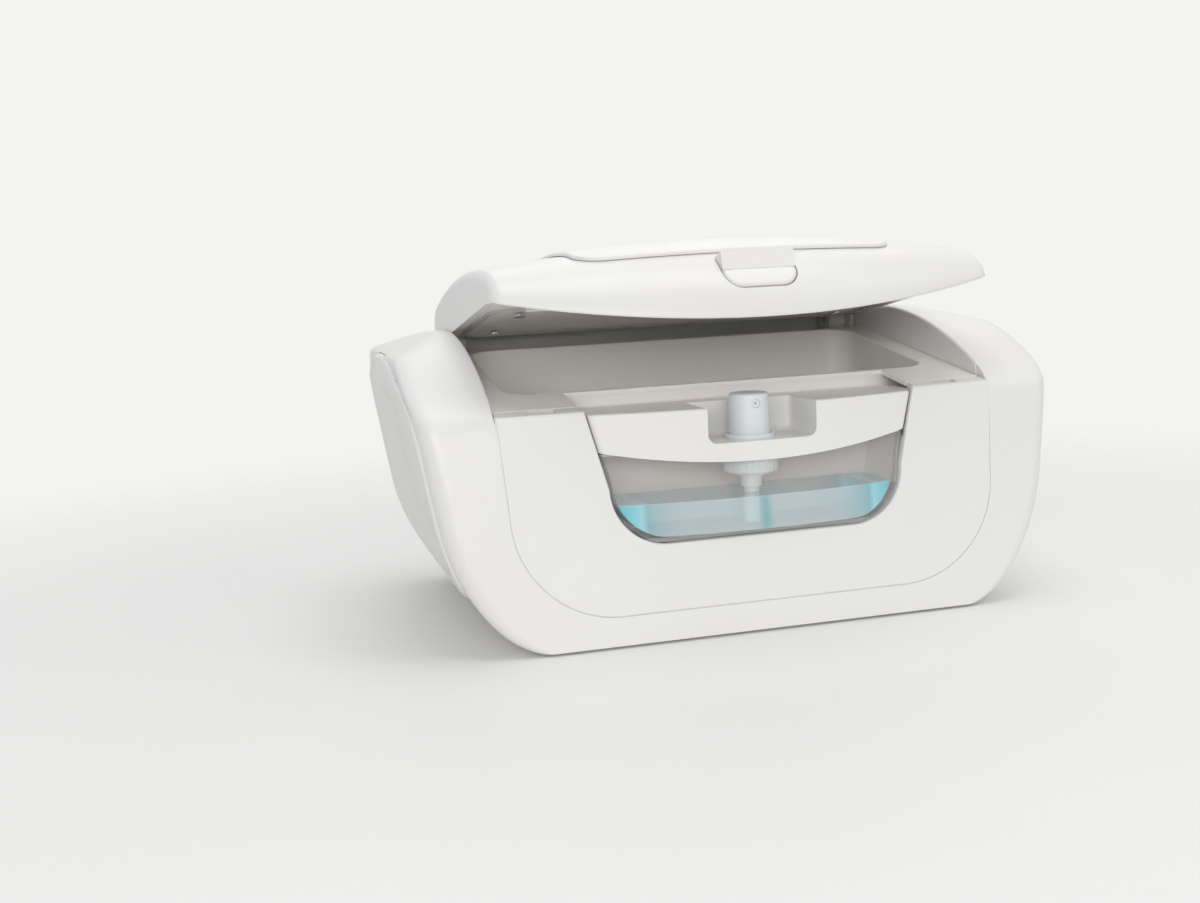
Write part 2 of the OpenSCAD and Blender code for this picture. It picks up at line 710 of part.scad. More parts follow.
// Cap: a hollow block with a notch for the nozzle and a skirt over the tank's front
cap_floor = tank_rim_z + gasket_t;
cap_floor_t = 2;
notch_z = cap_floor + cap_floor_t;
cap_front = front_d - front_slope * cap_z;
skirt_r = cap_half_w * cap_half_w / (2 * skirt_rise);
cap_back = tank_back - 0.5;
notch_wall = 2;
module cap_plan(d) {
    intersection() {
        translate([d - cap_half_w, -far]) square([cap_w - 2 * d, far - cap_back - d]);
        translate([0, cap_bow_r - cap_front - cap_bow]) circle(cap_bow_r - d, $fn = 360);
    }
}
cap_gap = tank_gap + 0.1;
module cap_form(d, z0, z1) {
    intersection() {
        translate([0, 0, z0]) linear_extrude(z1 - z0) cap_plan(d);
        run_y(-far, 0) window_outline(cap_gap + d, far);
    }
}
module notch_block(grow, z0) {
    block([-notch_half - grow, -far, z0], [notch_half + grow, -notch_back + grow, far]);
}
module tank_cap() {
    color(cap_white) in_frame() difference() {
        intersection() {
            cap_form(0, skirt_z - 5, cap_z);
            translate([0, 0, skirt_z + skirt_r]) rotate([90, 0, 0])
                cylinder(r = skirt_r, h = far, $fn = 360);
        }
        cap_form(cap_t, 0, cap_floor);
        block([-far, -notch_back - 18, 0], [far, far, cap_floor]);
        difference() {
            cap_form(cap_t, notch_z, cap_z - cap_t);
            notch_block(notch_wall, 0);
        }
        difference() {
            cap_form(cap_t + 7, cap_floor - past, cap_z - cap_t);
            notch_block(notch_wall, 0);
        }
        notch_block(0, notch_z);
        translate([0, -pump_y, 0]) rod(collar_neck_r + touch, 0, far);
    }
}

// Pump, all turned parts about one upright line
collar_neck_r = nozzle_d / 2 + 0.3 + 1.6;
cup_r = nozzle_d / 2 + slide_gap;
cup_z = cap_floor - 3;
pump_r = pump_bore / 2;
cylinder_r = pump_r + 2;
dip_z = window_z + tank_gap + tank_t + 1;
dip_top = collar_z;
pump_y = front_d - pump_in;
module pump_axis() { in_frame() translate([0, -pump_y, 0]) children(); }
module turned(points) { rotate_extrude($fn = round_n) polygon(points); }
module pump_collar() {
    color(pump_white) pump_axis() turned([
        [cylinder_r + touch, collar_z], [collar_d / 2, collar_z], [collar_d / 2, cap_floor - touch],
        [collar_neck_r, cap_floor - touch], [collar_neck_r, notch_z + 1.8], [cup_r, notch_z + 1.8],
        [cup_r, cup_z], [cylinder_r + touch, cup_z]]);
}
module pump_cylinder() {
    color(pump_white) pump_axis() turned([
        [dip_d / 2 - 1, collar_z - 1.5], [dip_d / 2 - 1, collar_z - 5], [dip_d / 2 + touch, collar_z - 5],
        [dip_d / 2 + touch, collar_z - 6.5], [dip_d / 2 + 1.2, collar_z - 6.5],
        [dip_d / 2 + 1.2, collar_z - 1.5], [cylinder_r, collar_z - 1.5], [cylinder_r, cup_z],
        [pump_r, cup_z], [pump_r, collar_z], [dip_d / 2 - 1, collar_z]]);
}
stem_r = 2;
piston_z = collar_z + nozzle_travel + 0.5;
piston_t = 3;
module pump_spring() {
    color(steel) pump_axis() turned([[pump_r - 1.6, collar_z + 0.05], [pump_r - 0.4, collar_z + 0.05],
        [pump_r - 0.4, piston_z - 0.05], [pump_r - 1.6, piston_z - 0.05]]);
}
module dip_tube() {
    color(pump_white) pump_axis() difference() {
        rod(dip_d / 2, dip_z, dip_top - 5 - touch);
        rod(dip_d / 2 - 1, 0, far);
    }
}
nozzle_skirt = notch_z + 0.1;
nozzle_wall = 1.4;
socket_z = nozzle_z - 7;
module pump_stem() {
    color(pump_white) pump_axis() {
        rod(pump_r - pin_gap, piston_z, piston_z + piston_t);
        rod(stem_r, piston_z, socket_z + 4);
    }
}
nozzle_top_r = nozzle_d / 2 - 0.5;
insert_r = 2;
insert_z = nozzle_z - 4.4;
module insert_axis(y0, y1, r) {
    translate([0, 0, insert_z]) rotate([-90, 0, 0]) rod(r, y0, y1);
}
module mist_nozzle() {
    color(pump_white) pump_axis() difference() {
        turned([[stem_r + 0.01, socket_z], [stem_r + 0.01, socket_z + 4.01], [0, socket_z + 4.01],
            [0, nozzle_z], [nozzle_top_r - 1, nozzle_z], [nozzle_top_r, nozzle_z - 1],
            [nozzle_d / 2, nozzle_skirt], [nozzle_d / 2 - nozzle_wall, nozzle_skirt],
            [nozzle_d / 2 - nozzle_wall - 0.4, socket_z]]);
        insert_axis(nozzle_top_r - 2, nozzle_d, insert_r);
    }
}
module nozzle_insert() {
    color(pump_white) pump_axis() difference() {
        insert_axis(nozzle_top_r - 2, nozzle_top_r + 0.3, insert_r - 0.02);
        insert_axis(nozzle_top_r - 0.5, nozzle_d, 0.5);
    }
}

// Lid, drawn shut. At each place across, its outer line runs from the front lip
// over the crown to the rear edge, which turns about the hinge.
crown_y = 80;
crown_front = -45;
crown_back = 66;
crown_c = crown_z - crown_r;
face_n = 8;
crown_n = 6;
back_n = 4;
curl_n = 3;
curl_end = -56;
function mid_share(x) = 1 - pow(limit(x / lid_half, -1, 1), 2);
function crown(x, y) = crown_c + sqrt(crown_r * crown_r - (y - crown_y) * (y - crown_y))
    - crown_drop * (1 - mid_share(x));
function bezier(a, b, c, d, t) = let (s = 1 - t)
    s * s * s * a + 3 * s * s * t * b + 3 * s * t * t * c + t * t * t * d;
function lip(x) = lip_front - mid_share(x) * [lip_bow, lip_drop];
function crown_dir(y) = unit([sqrt(crown_r * crown_r - (y - crown_y) * (y - crown_y)), crown_y - y]);
function face_line(x) = let (s = mid_share(x), a = lip(x), d = [crown_front, crown(x, crown_front)],
    b = a + [-1 - 4 * s, 11 + 9 * s], c = d - (22 + 23 * s) * crown_dir(crown_front))
    [for (i = [0:face_n - 1]) bezier(a, b, c, d, i / face_n)];
function crown_line(x) = [for (i = [0:crown_n - 1]) let (
    y = crown_front + (crown_back - crown_front) * i / crown_n) [y, crown(x, y)]];
function back_line(x) = let (a = [crown_back, crown(x, crown_back)], d = [hinge_y + knuckle_r, hinge_z],
    b = a + 13 * crown_dir(crown_back), c = [d[0], hinge_z + 0.55 * (a[1] - hinge_z)])
    [for (i = [0:back_n - 1]) bezier(a, b, c, d, i / back_n)];
function hinge_arc(r, a0, a1, n) = [for (i = [0:n]) let (a = a0 + (a1 - a0) * i / n)
    [hinge_y + r * cos(a), hinge_z + r * sin(a)]];
function lid_line(x) = concat(face_line(x), crown_line(x), back_line(x),
    hinge_arc(knuckle_r, 0, curl_end, curl_n));
// A line moved by d, inwards where d is positive
function moved(line, d) = [for (i = [0:len(line) - 1]) let (
    way = unit(line[min(len(line) - 1, i + 1)] - line[max(0, i - 1)]))
    line[i] + d * [way[1], -way[0]]];
function at_x(x, line) = [for (p = line) [x, p[0], p[1]]];
function slice(list, i0, i1) = [for (i = [i0:i1]) list[i]];

lid_cols = 10;
end_wall = 4;
end_round = 1.2;
wall_step = 0.6;
lip_t = 1.8;
// The lower side of a section: the inside of the skin, or the foot of an end wall
function inner_line(line) = concat([moved(line, lip_t)[0]], slice(moved(line, lid_t), 1, len(line) - 1));
function foot_line(x) = let (n = face_n + crown_n + back_n - 2, y0 = lip(x)[0] + lip_t,
    a = [y0, rim_at(y0) + rim_gap], y1 = hinge_y - knuckle_r - 0.8, b = [y1, rim_at(y1) + rim_gap])
    concat([[y0, lip(x)[1] + 0.5]], [for (i = [0:n - 1]) a + (b - a) * i / (n - 1)],
        [for (i = [0:curl_n + 1]) let (t = -172 + (curl_end - 14 + 172) * i / (curl_n + 1))
            [hinge_y + knuckle_r * cos(t), hinge_z + knuckle_r * sin(t)]]);
function lid_ring(x, d, solid) = let (line = moved(lid_line(x), d))
    at_x(x, concat(reversed(line), solid ? foot_line(x) : inner_line(line)));
module lid_form() {
    w = lid_half - end_wall;
    loft(concat(
        [lid_ring(-lid_half, end_round, true), lid_ring(end_round - lid_half, 0, true),
            lid_ring(-w, 0, true)],
        [for (i = [0:lid_cols]) lid_ring((w - wall_step) * (2 * i / lid_cols - 1), 0, false)],
        [lid_ring(w, 0, true), lid_ring(lid_half - end_round, 0, true),
            lid_ring(lid_half, end_round, true)]));
}
screw_posts = [[92, -30], [92, 34]];
liner_z = 1.2;
liner_t = 1.8;
liner_half = lid_half - end_wall - slide_gap;
liner_front = 20.7 - front_d;
liner_back = hinge_y - knuckle_r - 2;
button_half = button_w / 2;
module button_outline(d) {
    r = 6 + d;
    translate([0, button_z + button_h / 2]) difference() {
        union() {
            rounded_rect([-button_half - d, -button_h / 2 - d], [button_half + d, button_h / 2 + d], r);
            translate([-button_half - d, 0]) square([button_w + 2 * d, button_h / 2 + d]);
        }
    }
}
button_gap = 0.5;
button_hole_y = 5.7 - front_d;
button_end_y = 3.7 - front_d;
module lid_shell() {
    color(shell_white) in_lid() difference() {
        union() {
            lid_form();
            both_sides() {
                axle(pin_boss_r + 1, lid_half - pin_in, lid_half - end_wall + 0.5, hinge_y, hinge_z);
                for (p = screw_posts) translate([p[0], p[1], 0])
                    rod(boss_r, rim_at(p[1]) + liner_z + liner_t + 0.6, crown(p[0], p[1]) - lid_t / 2);
            }
        }
        both_sides() {
            axle(pin_d / 2 + pin_gap, lid_half - pin_in - past, lid_half + past, hinge_y, hinge_z);
            for (p = screw_posts) translate([p[0], p[1], 0]) rod(pilot_r, 0, rim_at(p[1]) + 12);
        }
        run_y(-far, button_hole_y) button_outline(button_gap);
    }
}

plate_gap = 0.35;
plate_cols = 14;
plate_first = 5;
plate_last = face_n + crown_n + 0.4;
plate_round = 0.16;
// The plate's outline draws in near its ends, so that its corners are round
function plate_pick(x, side) = let (u = limit(abs(x) / (plate_w / 2), 0, 0.995),
    e = pow(limit((u - 1 + plate_round) / plate_round, 0, 1), 2)) 1.2 * (1 - sqrt(1 - 0.98 * e)) * side;
function between(list, t) = let (i = floor(limit(t, 0, len(list) - 1.001)), f = t - i)
    list[i] * (1 - f) + list[i + 1] * f;
plate_rows = 20;
function plate_line(x, lift_by) = let (line = moved(lid_line(x), -lift_by),
    t0 = plate_first + plate_pick(x, 1), t1 = plate_last - plate_pick(x, 1))
    [for (i = [0:plate_rows]) between(line, t0 + (t1 - t0) * i / plate_rows)];
module lid_top_plate() {
    color(shell_white) in_lid() loft([for (i = [0:plate_cols]) let (
        x = plate_w / 2 * sin(89 * (2 * i / plate_cols - 1)))
        at_x(x, concat(plate_line(x, plate_gap + plate_t), reversed(plate_line(x, plate_gap))))]);
}

slot_marks = [-98, 0, 98];
module lid_liner() {
    color(tub_white) in_lid() difference() {
        on_rim() translate([0, 0, liner_z]) linear_extrude(liner_t) difference() {
            rounded_rect([-liner_half, rim_u(liner_front)], [liner_half, rim_u(liner_back)], 6);
            for (x = slot_marks) translate([x, rim_u(liner_back) - 8])
                square([8, 2.4], center = true);
        }
        both_sides() for (p = screw_posts) translate([p[0], p[1], 0]) rod(screw_r + 0.1, 0, far);
    }
}
seal_w = 2.5;
seal_h = 1.1;
module seal_area(d) {
    rounded_rect([-tub_w / 2 - 2 - d, rim_u(-tub_front - 1.5 - d)],
        [tub_w / 2 + 2 + d, rim_u(min(tub_rear + 1.5 + d, liner_back - 0.5))], tub_r + d);
}
module lid_seal() {
    color(soft_grey) in_lid() on_rim() translate([0, 0, liner_z - seal_h]) linear_extrude(seal_h - 0.05)
        difference() {
            seal_area(seal_w);
            seal_area(0);
        }
}
module lid_screws() {
    color(steel) in_lid() both_sides() for (p = screw_posts) translate([p[0], p[1], 0]) {
        rod(pilot_r - 0.02, rim_at(p[1]) + liner_z - 1.3, rim_at(p[1]) + 11);
        rod(screw_d * 0.95, rim_at(p[1]) + liner_z - 2.2, rim_at(p[1]) + liner_z - 0.7);
    }
}

// Tongue that pushes the nozzle down through the last of the lid's closing
arm_end = liner_front - 0.6;
presser_w = 14;
presser_z = nozzle_z + 0.4;
module pump_presser() {
    color(tub_white) in_lid() {
        block([-presser_w / 2, -pump_y - 9, presser_z], [presser_w / 2, arm_end, presser_z + 1.4]);
    }
}

// Latch: the button pushes a bar whose two hooks enter the slots in the panel's rim
bar_y0 = 15.4 - front_d;
bar_t = 2;
bar_z = presser_z + 2;
bar_h = 3.6;
hook_z = panel_top_z - 1.7;
hook_w = slot_w - 3;
bar_low = rim_z + 0.8;
guide_z = presser_z - 0.5;
guide_x = button_half - 4;
guide_y = 10.2 - front_d;
spring_r = 2.6;
spring_z = guide_z - 0.6;
module latch_bar() {
    color(cap_white) in_lid() run_y(bar_y0, bar_y0 + bar_t) polygon(concat(
        [[-30, bar_z + bar_h], [-60, bar_low + bar_h], [-slot_x - hook_w / 2, bar_low + bar_h],
            [-slot_x - hook_w / 2, hook_z], [-slot_x + hook_w / 2, hook_z], [-slot_x + hook_w / 2, bar_low],
            [-60, bar_low], [-30, bar_z]],
        [[30, bar_z], [60, bar_low], [slot_x - hook_w / 2, bar_low], [slot_x - hook_w / 2, hook_z],
            [slot_x + hook_w / 2, hook_z], [slot_x + hook_w / 2, bar_low + bar_h], [60, bar_low + bar_h],
            [30, bar_z + bar_h]]));
}
module latch_guide() {
    color(tub_white) in_lid() both_sides() {
        block([guide_x - 3.2, guide_y, spring_z - 3.2], [guide_x + 3.2, guide_y + 1.4, guide_z + 2]);
        block([guide_x - 1, guide_y, guide_z], [guide_x + 3.2, arm_end, guide_z + 1.6]);
    }
}
// The button's rear is flat, and its front follows the lid's face
button_back = 0.2 - front_d;
button_depth = 31.7 - front_d;
module button_springs() {
    color(steel) in_lid() both_sides() translate([guide_x, 0, spring_z]) rotate([-90, 0, 0]) difference() {
        rod(spring_r, button_back + latch_travel + 0.3, guide_y - 0.05);
        rod(spring_r - 0.8, -far, far);
    }
}
button_rise = 0.8;
button_cols = 8;
module face_slab() {
    loft([for (i = [0:button_cols]) let (x = (button_half + 2) * (2 * i / button_cols - 1),
        line = moved(slice(lid_line(x), 0, face_n), -button_rise))
        at_x(x, concat(reversed(line), [[button_depth, line[0][1]],
            [button_depth, line[len(line) - 1][1]]]))]);
}
module latch_button() {
    color(cap_white) in_lid() {
        intersection() {
            run_y(-far, button_end_y) button_outline(0);
            face_slab();
            union() {
                block([-far, -far, 0], [far, button_back, far]);
                block([-far, -far, bar_z], [far, far, far]);
            }
        }
        block([-5, button_back - 1, bar_z + 0.1], [5, bar_y0 - 0.1, bar_z + bar_h - 0.1]);
    }
}

outer_shell();
front_panel();
side_cap_left();
side_cap_right();
base_plate();
foot_front_left();
foot_front_right();
foot_rear_left();
foot_rear_right();
base_screws();
wipe_tub();
tank_well();
heater_plate();
heater_film();
insulation_pad();
thermostat();
thermal_fuse();
control_board();
board_parts();
board_screws();
dc_jack();
jack_lead();
heater_lead();
hinge_pin_left();
hinge_pin_right();
water_tank();
water();
tank_gasket();
tank_cap();
pump_collar();
pump_cylinder();
pump_spring();
dip_tube();
pump_stem();
mist_nozzle();
nozzle_insert();
lid_shell();
lid_top_plate();
lid_liner();
lid_seal();
lid_screws();
pump_presser();
latch_guide();
button_springs();
latch_button();
latch_bar();
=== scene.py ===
"""Looks of the baby wipe warmer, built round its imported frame.

Shapes are worked out in millimetres, with depths from the housing's middle line
and the lid drawn shut, as the part's source has them, and are then put in place.
"""
from math import acos, cos, pi, radians, sin, sqrt, tan

import bmesh
import bpy
import numpy as np
from mathutils import Matrix, Vector


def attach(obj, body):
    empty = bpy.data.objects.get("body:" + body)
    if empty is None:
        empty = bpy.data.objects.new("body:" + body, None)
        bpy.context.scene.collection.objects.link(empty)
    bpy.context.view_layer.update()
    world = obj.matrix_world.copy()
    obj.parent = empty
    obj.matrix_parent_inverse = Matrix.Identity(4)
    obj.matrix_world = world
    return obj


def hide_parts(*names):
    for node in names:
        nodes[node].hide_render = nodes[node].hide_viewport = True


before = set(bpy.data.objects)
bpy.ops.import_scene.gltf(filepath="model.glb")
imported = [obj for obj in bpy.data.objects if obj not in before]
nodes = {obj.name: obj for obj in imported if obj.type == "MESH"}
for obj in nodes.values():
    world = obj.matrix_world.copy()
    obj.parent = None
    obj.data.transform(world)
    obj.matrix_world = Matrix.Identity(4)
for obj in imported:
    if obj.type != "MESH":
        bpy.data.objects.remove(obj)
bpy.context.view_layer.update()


def sind(a): return sin(radians(a))
def cosd(a): return cos(radians(a))
def tand(a): return tan(radians(a))


# Sizes shared with the part's source
BODY_W, BASE_W, EAR_H, BAY = 299.0, 194.0, 134.0, 115.0
FRONT_D, REAR_D, LEAN = 91.7, 88.0, 6.4
ARCH_R, EAR_TOP_Y, SHOULDER, BASE_ROUND, EAR_ROUND, EAR_SLOPE = 220.0, 34.0, 112.0, 60.0, 8.5, 26.0
FLARE, COLLAR_RIBS = 0.155, 30
SHELL_T, BASE_Z, DISH_D, BEAD_W, DISH_RUN, CORNER_R = 2.6, 1.2, 6.0, 3.4, 24.0, 8.0
CAP_RISE, CAP_BULGE = 0.5, 0.6
PANEL_TOP, PANEL_W, PANEL_LOW, PANEL_R, PANEL_T, SEAM = 100.2, 229.0, 14.0, 46.0, 2.6, 0.4
SLOT_X, SLOT_W = 94.0, 12.0
RIM_Z, RIM_RISE, RIM_Y = 102.7, 8.8, 76.0
TUB_W, TUB_FRONT, TUB_REAR, TUB_FLOOR, TUB_T, TUB_R = 206.0, 44.0, 49.0, 30.0, 2.0, 12.0
WIN_W, WIN_LOW, WIN_Z, WIN_R = 152.0, 136.0, 43.0, 25.0
TANK_GAP, TANK_T, TANK_BACK, TANK_BOW, TANK_RIM, WATER_Z = 0.4, 2.0, 50.0, 5.5, 81.5, 60.0
CAP_Z, CAP_W, CAP_BOW, SKIRT_Z, SKIRT_RISE, CAP_T = 100.0, 151.0, 10.5, 76.0, 8.2, 2.0
NOTCH_W, NOTCH_BACK, NOTCH_R, GASKET_T = 50.0, 60.0, 4.0, 1.0
PUMP_Y, NOZZLE_D, NOZZLE_Z, COLLAR_D, COLLAR_Z, BORE, DIP_D = 73.5, 18.5, 104.0, 24.0, 69.0, 10.0, 7.0
OPEN, HINGE_Y, HINGE_Z, PIN_D, KNUCKLE = 18.0, 71.0, 126.0, 5.0, 15.0
CROWN_R, CROWN_Z, CROWN_DROP, CROWN_Y = 400.0, 154.8, 8.0, 80.0
LIP_BOW, LIP_DROP, LID_T, LID_GAP, LIP_T = 15.0, 17.5, 2.6, 0.6, 1.8
PLATE_W, PLATE_T, PLATE_GAP = 148.0, 1.6, 0.35
BUTTON_W, BUTTON_Z, BUTTON_H = 33.0, 97.5, 18.0
FOOT_D, FOOT_X, SCREW_D = 14.0, 74.0, 3.0
FOOT_YS, BASE_SCREW_YS, BASE_SCREW_X = (-66, 60), (-62, 0, 58), BASE_W / 2 - 8
LID_SCREW_X, LID_SCREW_YS = 92, (-30, 34)
LID_SCREWS = [(x, y) for x in (-LID_SCREW_X, LID_SCREW_X) for y in LID_SCREW_YS]
BOARD_POSTS = [(x, y) for y in (8, 48) for x in (-10, 70)]
RIM_BACK, PANEL_RIM, TUB_RIM, POST_R = -71.3, -0.5, -0.4, 3.5
JACK_X, JACK_Z, JACK_HOLE = 58, 20, 9.0
PISTON_Z, PISTON_CUP, PISTON_D, STEM_D, STEM_TOP = 73.0, 3.7, 9.86, 4.0, 100.9

SLOPE = tand(LEAN)
LID_HALF = BAY - LID_GAP
TROUGH_R = KNUCKLE + 1.5
ARCH_Z = EAR_H + 0.4 - ARCH_R
FLOOR_Z = BASE_Z + 2.2
FAR = 300.0


def smax(a, b, k): return (a + b + np.sqrt((a - b) ** 2 + k * k)) / 2
def smin(a, b, k): return (a + b - np.sqrt((a - b) ** 2 + k * k)) / 2
def arch_half(z): return np.sqrt(ARCH_R ** 2 - (z - ARCH_Z) ** 2)
def face_y(z): return z * SLOPE - FRONT_D
def front_y(z): return smax(face_y(z), EAR_TOP_Y - arch_half(z), 7)
def rear_y(z): return smin(REAR_D + 0 * z, EAR_TOP_Y + arch_half(z), 16)
def quarter(t): return 1 - np.sqrt(1 - t * t)
def flare(z): return BODY_W / 2 - FLARE * np.maximum(0, SHOULDER - z)


def half_w(z):
    turn_in = flare(0.0) - BASE_W / 2
    return (flare(z) - turn_in * quarter(np.clip(1 - z / BASE_ROUND, 0, 1))
            - EAR_SLOPE * smax((z - EAR_H + EAR_ROUND) / EAR_ROUND, 0, 0.14))


LIP_FRONT = np.array([-(FRONT_D - RIM_Z * SLOPE) - 1.5, RIM_Z - 1.3])
LIP_MID = LIP_FRONT - np.array([LIP_BOW, LIP_DROP])
OPEN_FRONT = HINGE_Y + (LIP_MID[0] - HINGE_Y) * cosd(OPEN) + (LIP_MID[1] - HINGE_Z) * sind(OPEN)
FRAME_Y = float(-(OPEN_FRONT + rear_y(BASE_Z)) / 2)

RIM = Matrix.Translation((0, -RIM_Y, RIM_Z)) @ Matrix.Rotation(radians(RIM_RISE), 4, "X")
FACE = Matrix.Translation((0, -FRONT_D, 0)) @ Matrix.Rotation(radians(-LEAN), 4, "X")
IN_BASE = Matrix.Scale(0.001, 4) @ Matrix.Translation((0, FRAME_Y, 0))
IN_LID = (IN_BASE @ Matrix.Translation((0, HINGE_Y, HINGE_Z)) @ Matrix.Rotation(radians(-OPEN), 4, "X")
          @ Matrix.Translation((0, -HINGE_Y, -HINGE_Z)))


def rim_at(y): return RIM_Z + (y + RIM_Y) * tand(RIM_RISE)
def rim_u(y): return (y + RIM_Y) / cosd(RIM_RISE)


# Mesh helpers
def shown(name, data):
    ob = bpy.data.objects.new(name, data)
    bpy.context.scene.collection.objects.link(ob)
    return ob


def made(name, verts, faces):
    mesh = bpy.data.meshes.new(name)
    mesh.from_pydata(np.asarray(verts, float).tolist(), [], faces)
    ob = shown(name, mesh)
    tidy(ob)
    return ob


def tidy(ob, merge=1e-4):
    bm = bmesh.new()
    bm.from_mesh(ob.data)
    bmesh.ops.remove_doubles(bm, verts=bm.verts, dist=merge)
    bmesh.ops.recalc_face_normals(bm, faces=bm.faces)
    bm.to_mesh(ob.data)
    bm.free()
    ob.data.update()


def loft(name, rings, loop=False):
    """A closed solid through rings of equal length. Its two ends are filled, or meet in a loop."""
    r = np.asarray(rings, float)
    m, n = r.shape[:2]
    faces = [] if loop else [list(range(n - 1, -1, -1)), list(range((m - 1) * n, m * n))]
    for j in range(m if loop else m - 1):
        k = (j + 1) % m * n
        faces += [[j * n + i, j * n + (i + 1) % n, k + (i + 1) % n, k + i] for i in range(n)]
    return made(name, r.reshape(-1, 3), faces)


def level(q, z):
    """A flat outline as a ring at height z."""
    return np.concatenate([q, np.full((len(q), 1), z)], 1)


def across(q, x):
    """An outline of depths and heights as a ring at x."""
    return np.concatenate([np.full((len(q), 1), x), q], 1)


def upto(end, n):
    """Angles from 0 to end degrees in n steps."""
    return np.radians(end * np.arange(n + 1) / n)


def box(lo, hi, frame_of=Matrix()):
    x0, y0, z0 = lo
    x1, y1, z1 = hi
    ob = loft("cutter", [[(x0, y0, z), (x1, y0, z), (x1, y1, z), (x0, y1, z)] for z in (z0, z1)])
    ob.data.transform(frame_of)
    return ob


def rod(r, lo, hi, axis="Z", at=(0, 0), n=96):
    a = np.arange(n) * 2 * pi / n
    u, v = at[0] + r * np.cos(a), at[1] + r * np.sin(a)
    rings = []
    for w in (lo, hi):
        k = np.full(n, float(w))
        rings.append(np.stack({"Z": (u, v, k), "Y": (u, k, v), "X": (k, u, v)}[axis], 1))
    return loft("cutter", rings)


def lathe(name, profile, n=96, at=(0, -PUMP_Y)):
    """Turns a closed outline of (radius, height) about an upright line."""
    a = np.arange(n) * 2 * pi / n
    ob = loft(name, [[(at[0] + r * cos(t), at[1] + r * sin(t), z) for r, z in profile] for t in a], True)
    bm = bmesh.new()
    bm.from_mesh(ob.data)
    bmesh.ops.dissolve_degenerate(bm, dist=1e-4, edges=bm.edges)
    bm.to_mesh(ob.data)
    bm.free()
    return ob


def rounded(points, radii, n=6):
    """Rounds each corner of a flat outline. Every corner gives n + 1 points."""
    p = [np.asarray(q, float) for q in points]
    radii = [radii] * len(p) if np.isscalar(radii) else radii
    out = []
    for i, r in enumerate(radii):
        a, b, c = p[i - 1], p[i], p[(i + 1) % len(p)]
        t, u = (a - b) / np.linalg.norm(a - b), (c - b) / np.linalg.norm(c - b)
        half = acos(max(-1, min(1, float(t @ u)))) / 2
        if r <= 0 or half > 1.5705:
            out += [b] * (n + 1) if n else [b]
            continue
        mid = b + (t + u) / np.linalg.norm(t + u) * r / sin(half)
        e0, e1 = b + t * r / tan(half) - mid, b + u * r / tan(half) - mid
        whole = acos(max(-1, min(1, float(e0 @ e1) / r / r)))
        for k in range(n + 1):
            f = k / n
            out.append(mid + (sin((1 - f) * whole) * e0 + sin(f * whole) * e1) / sin(whole))
    return np.array(out)


def rect(x0, y0, x1, y1, r, n=8):
    return rounded([(x0, y0), (x1, y0), (x1, y1), (x0, y1)], r, n)


def prism(q, lo, hi, frame_of=Matrix(), axis="Z"):
    """A flat outline run between lo and hi along an axis."""
    q = np.asarray(q, float)
    rings = []
    for w in (lo, hi):
        k = np.full(len(q), float(w))
        rings.append(np.stack({"Z": (q[:, 0], q[:, 1], k), "Y": (q[:, 0], k, q[:, 1]),
                               "X": (k, q[:, 0], q[:, 1])}[axis], 1))
    ob = loft("cutter", rings)
    ob.data.transform(frame_of)
    return ob


def tube(name, path, r, n=12):
    p = np.asarray(path, float)
    d = np.gradient(p, axis=0)
    d /= np.linalg.norm(d, axis=1)[:, None]
    side = np.cross(d, (0.13, 0.21, 1.0))
    side /= np.linalg.norm(side, axis=1)[:, None]
    up = np.cross(side, d)
    a = np.arange(n) * 2 * pi / n
    return loft(name, [p[i] + r * (np.cos(a)[:, None] * side[i] + np.sin(a)[:, None] * up[i])
                       for i in range(len(p))])


def join(name, parts):
    bm = bmesh.new()
    for o in parts:
        bm.from_mesh(o.data)
    for o in parts:
        drop(o)
    mesh = bpy.data.meshes.new(name)
    bm.to_mesh(mesh)
    bm.free()
    return shown(name, mesh)


def drop(ob):
    mesh = ob.data
    bpy.data.objects.remove(ob)
    bpy.data.meshes.remove(mesh)


def applied(ob):
    graph = bpy.context.evaluated_depsgraph_get()
    mesh = bpy.data.meshes.new_from_object(ob.evaluated_get(graph))
    old = ob.data
    ob.modifiers.clear()
    ob.data = mesh
    mesh.name = ob.name
    bpy.data.meshes.remove(old)


def solid(ob, op, *others):
    """Cuts, joins or keeps the common part of closed meshes, one after another."""
    for other in others:
        mod = ob.modifiers.new("step", "BOOLEAN")
        mod.operation, mod.solver, mod.object = op, "MANIFOLD", other
        applied(ob)
        if not ob.data.vertices:
            raise ValueError(f"{ob.name}: {op} with {other.name} left nothing")
        drop(other)
    return ob


def cut(ob, *others): return solid(ob, "DIFFERENCE", *others)
def add(ob, *others): return solid(ob, "UNION", *others)
def keep(ob, *others): return solid(ob, "INTERSECT", *others)


def mirrored(ob):
    """A copy of the mesh on the other side of the middle."""
    two = shown(ob.name, ob.data.copy())
    two.data.transform(Matrix.Scale(-1, 4, (1, 0, 0)))
    two.data.flip_normals()
    return two


def smoothed(ob, slot, angle):
    ob.data.shade_smooth()
    ob.data.set_sharp_from_angle(angle=radians(angle))
    ob.data.materials.clear()
    ob.data.materials.append(M[slot])


def dress(ob, name, body, slot, node_name, place=IN_BASE, angle=32):
    """Puts a finished mesh in the place of its solid, smooths it and ties it to its body."""
    ob.name = ob.data.name = name
    tidy(ob, 2e-3)
    ob.data.transform(place)
    smoothed(ob, slot, angle)
    mod = ob.modifiers.new("normals", "WEIGHTED_NORMAL")
    mod.keep_sharp, mod.weight = True, 50
    applied(ob)
    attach(ob, body)
    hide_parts(node_name)


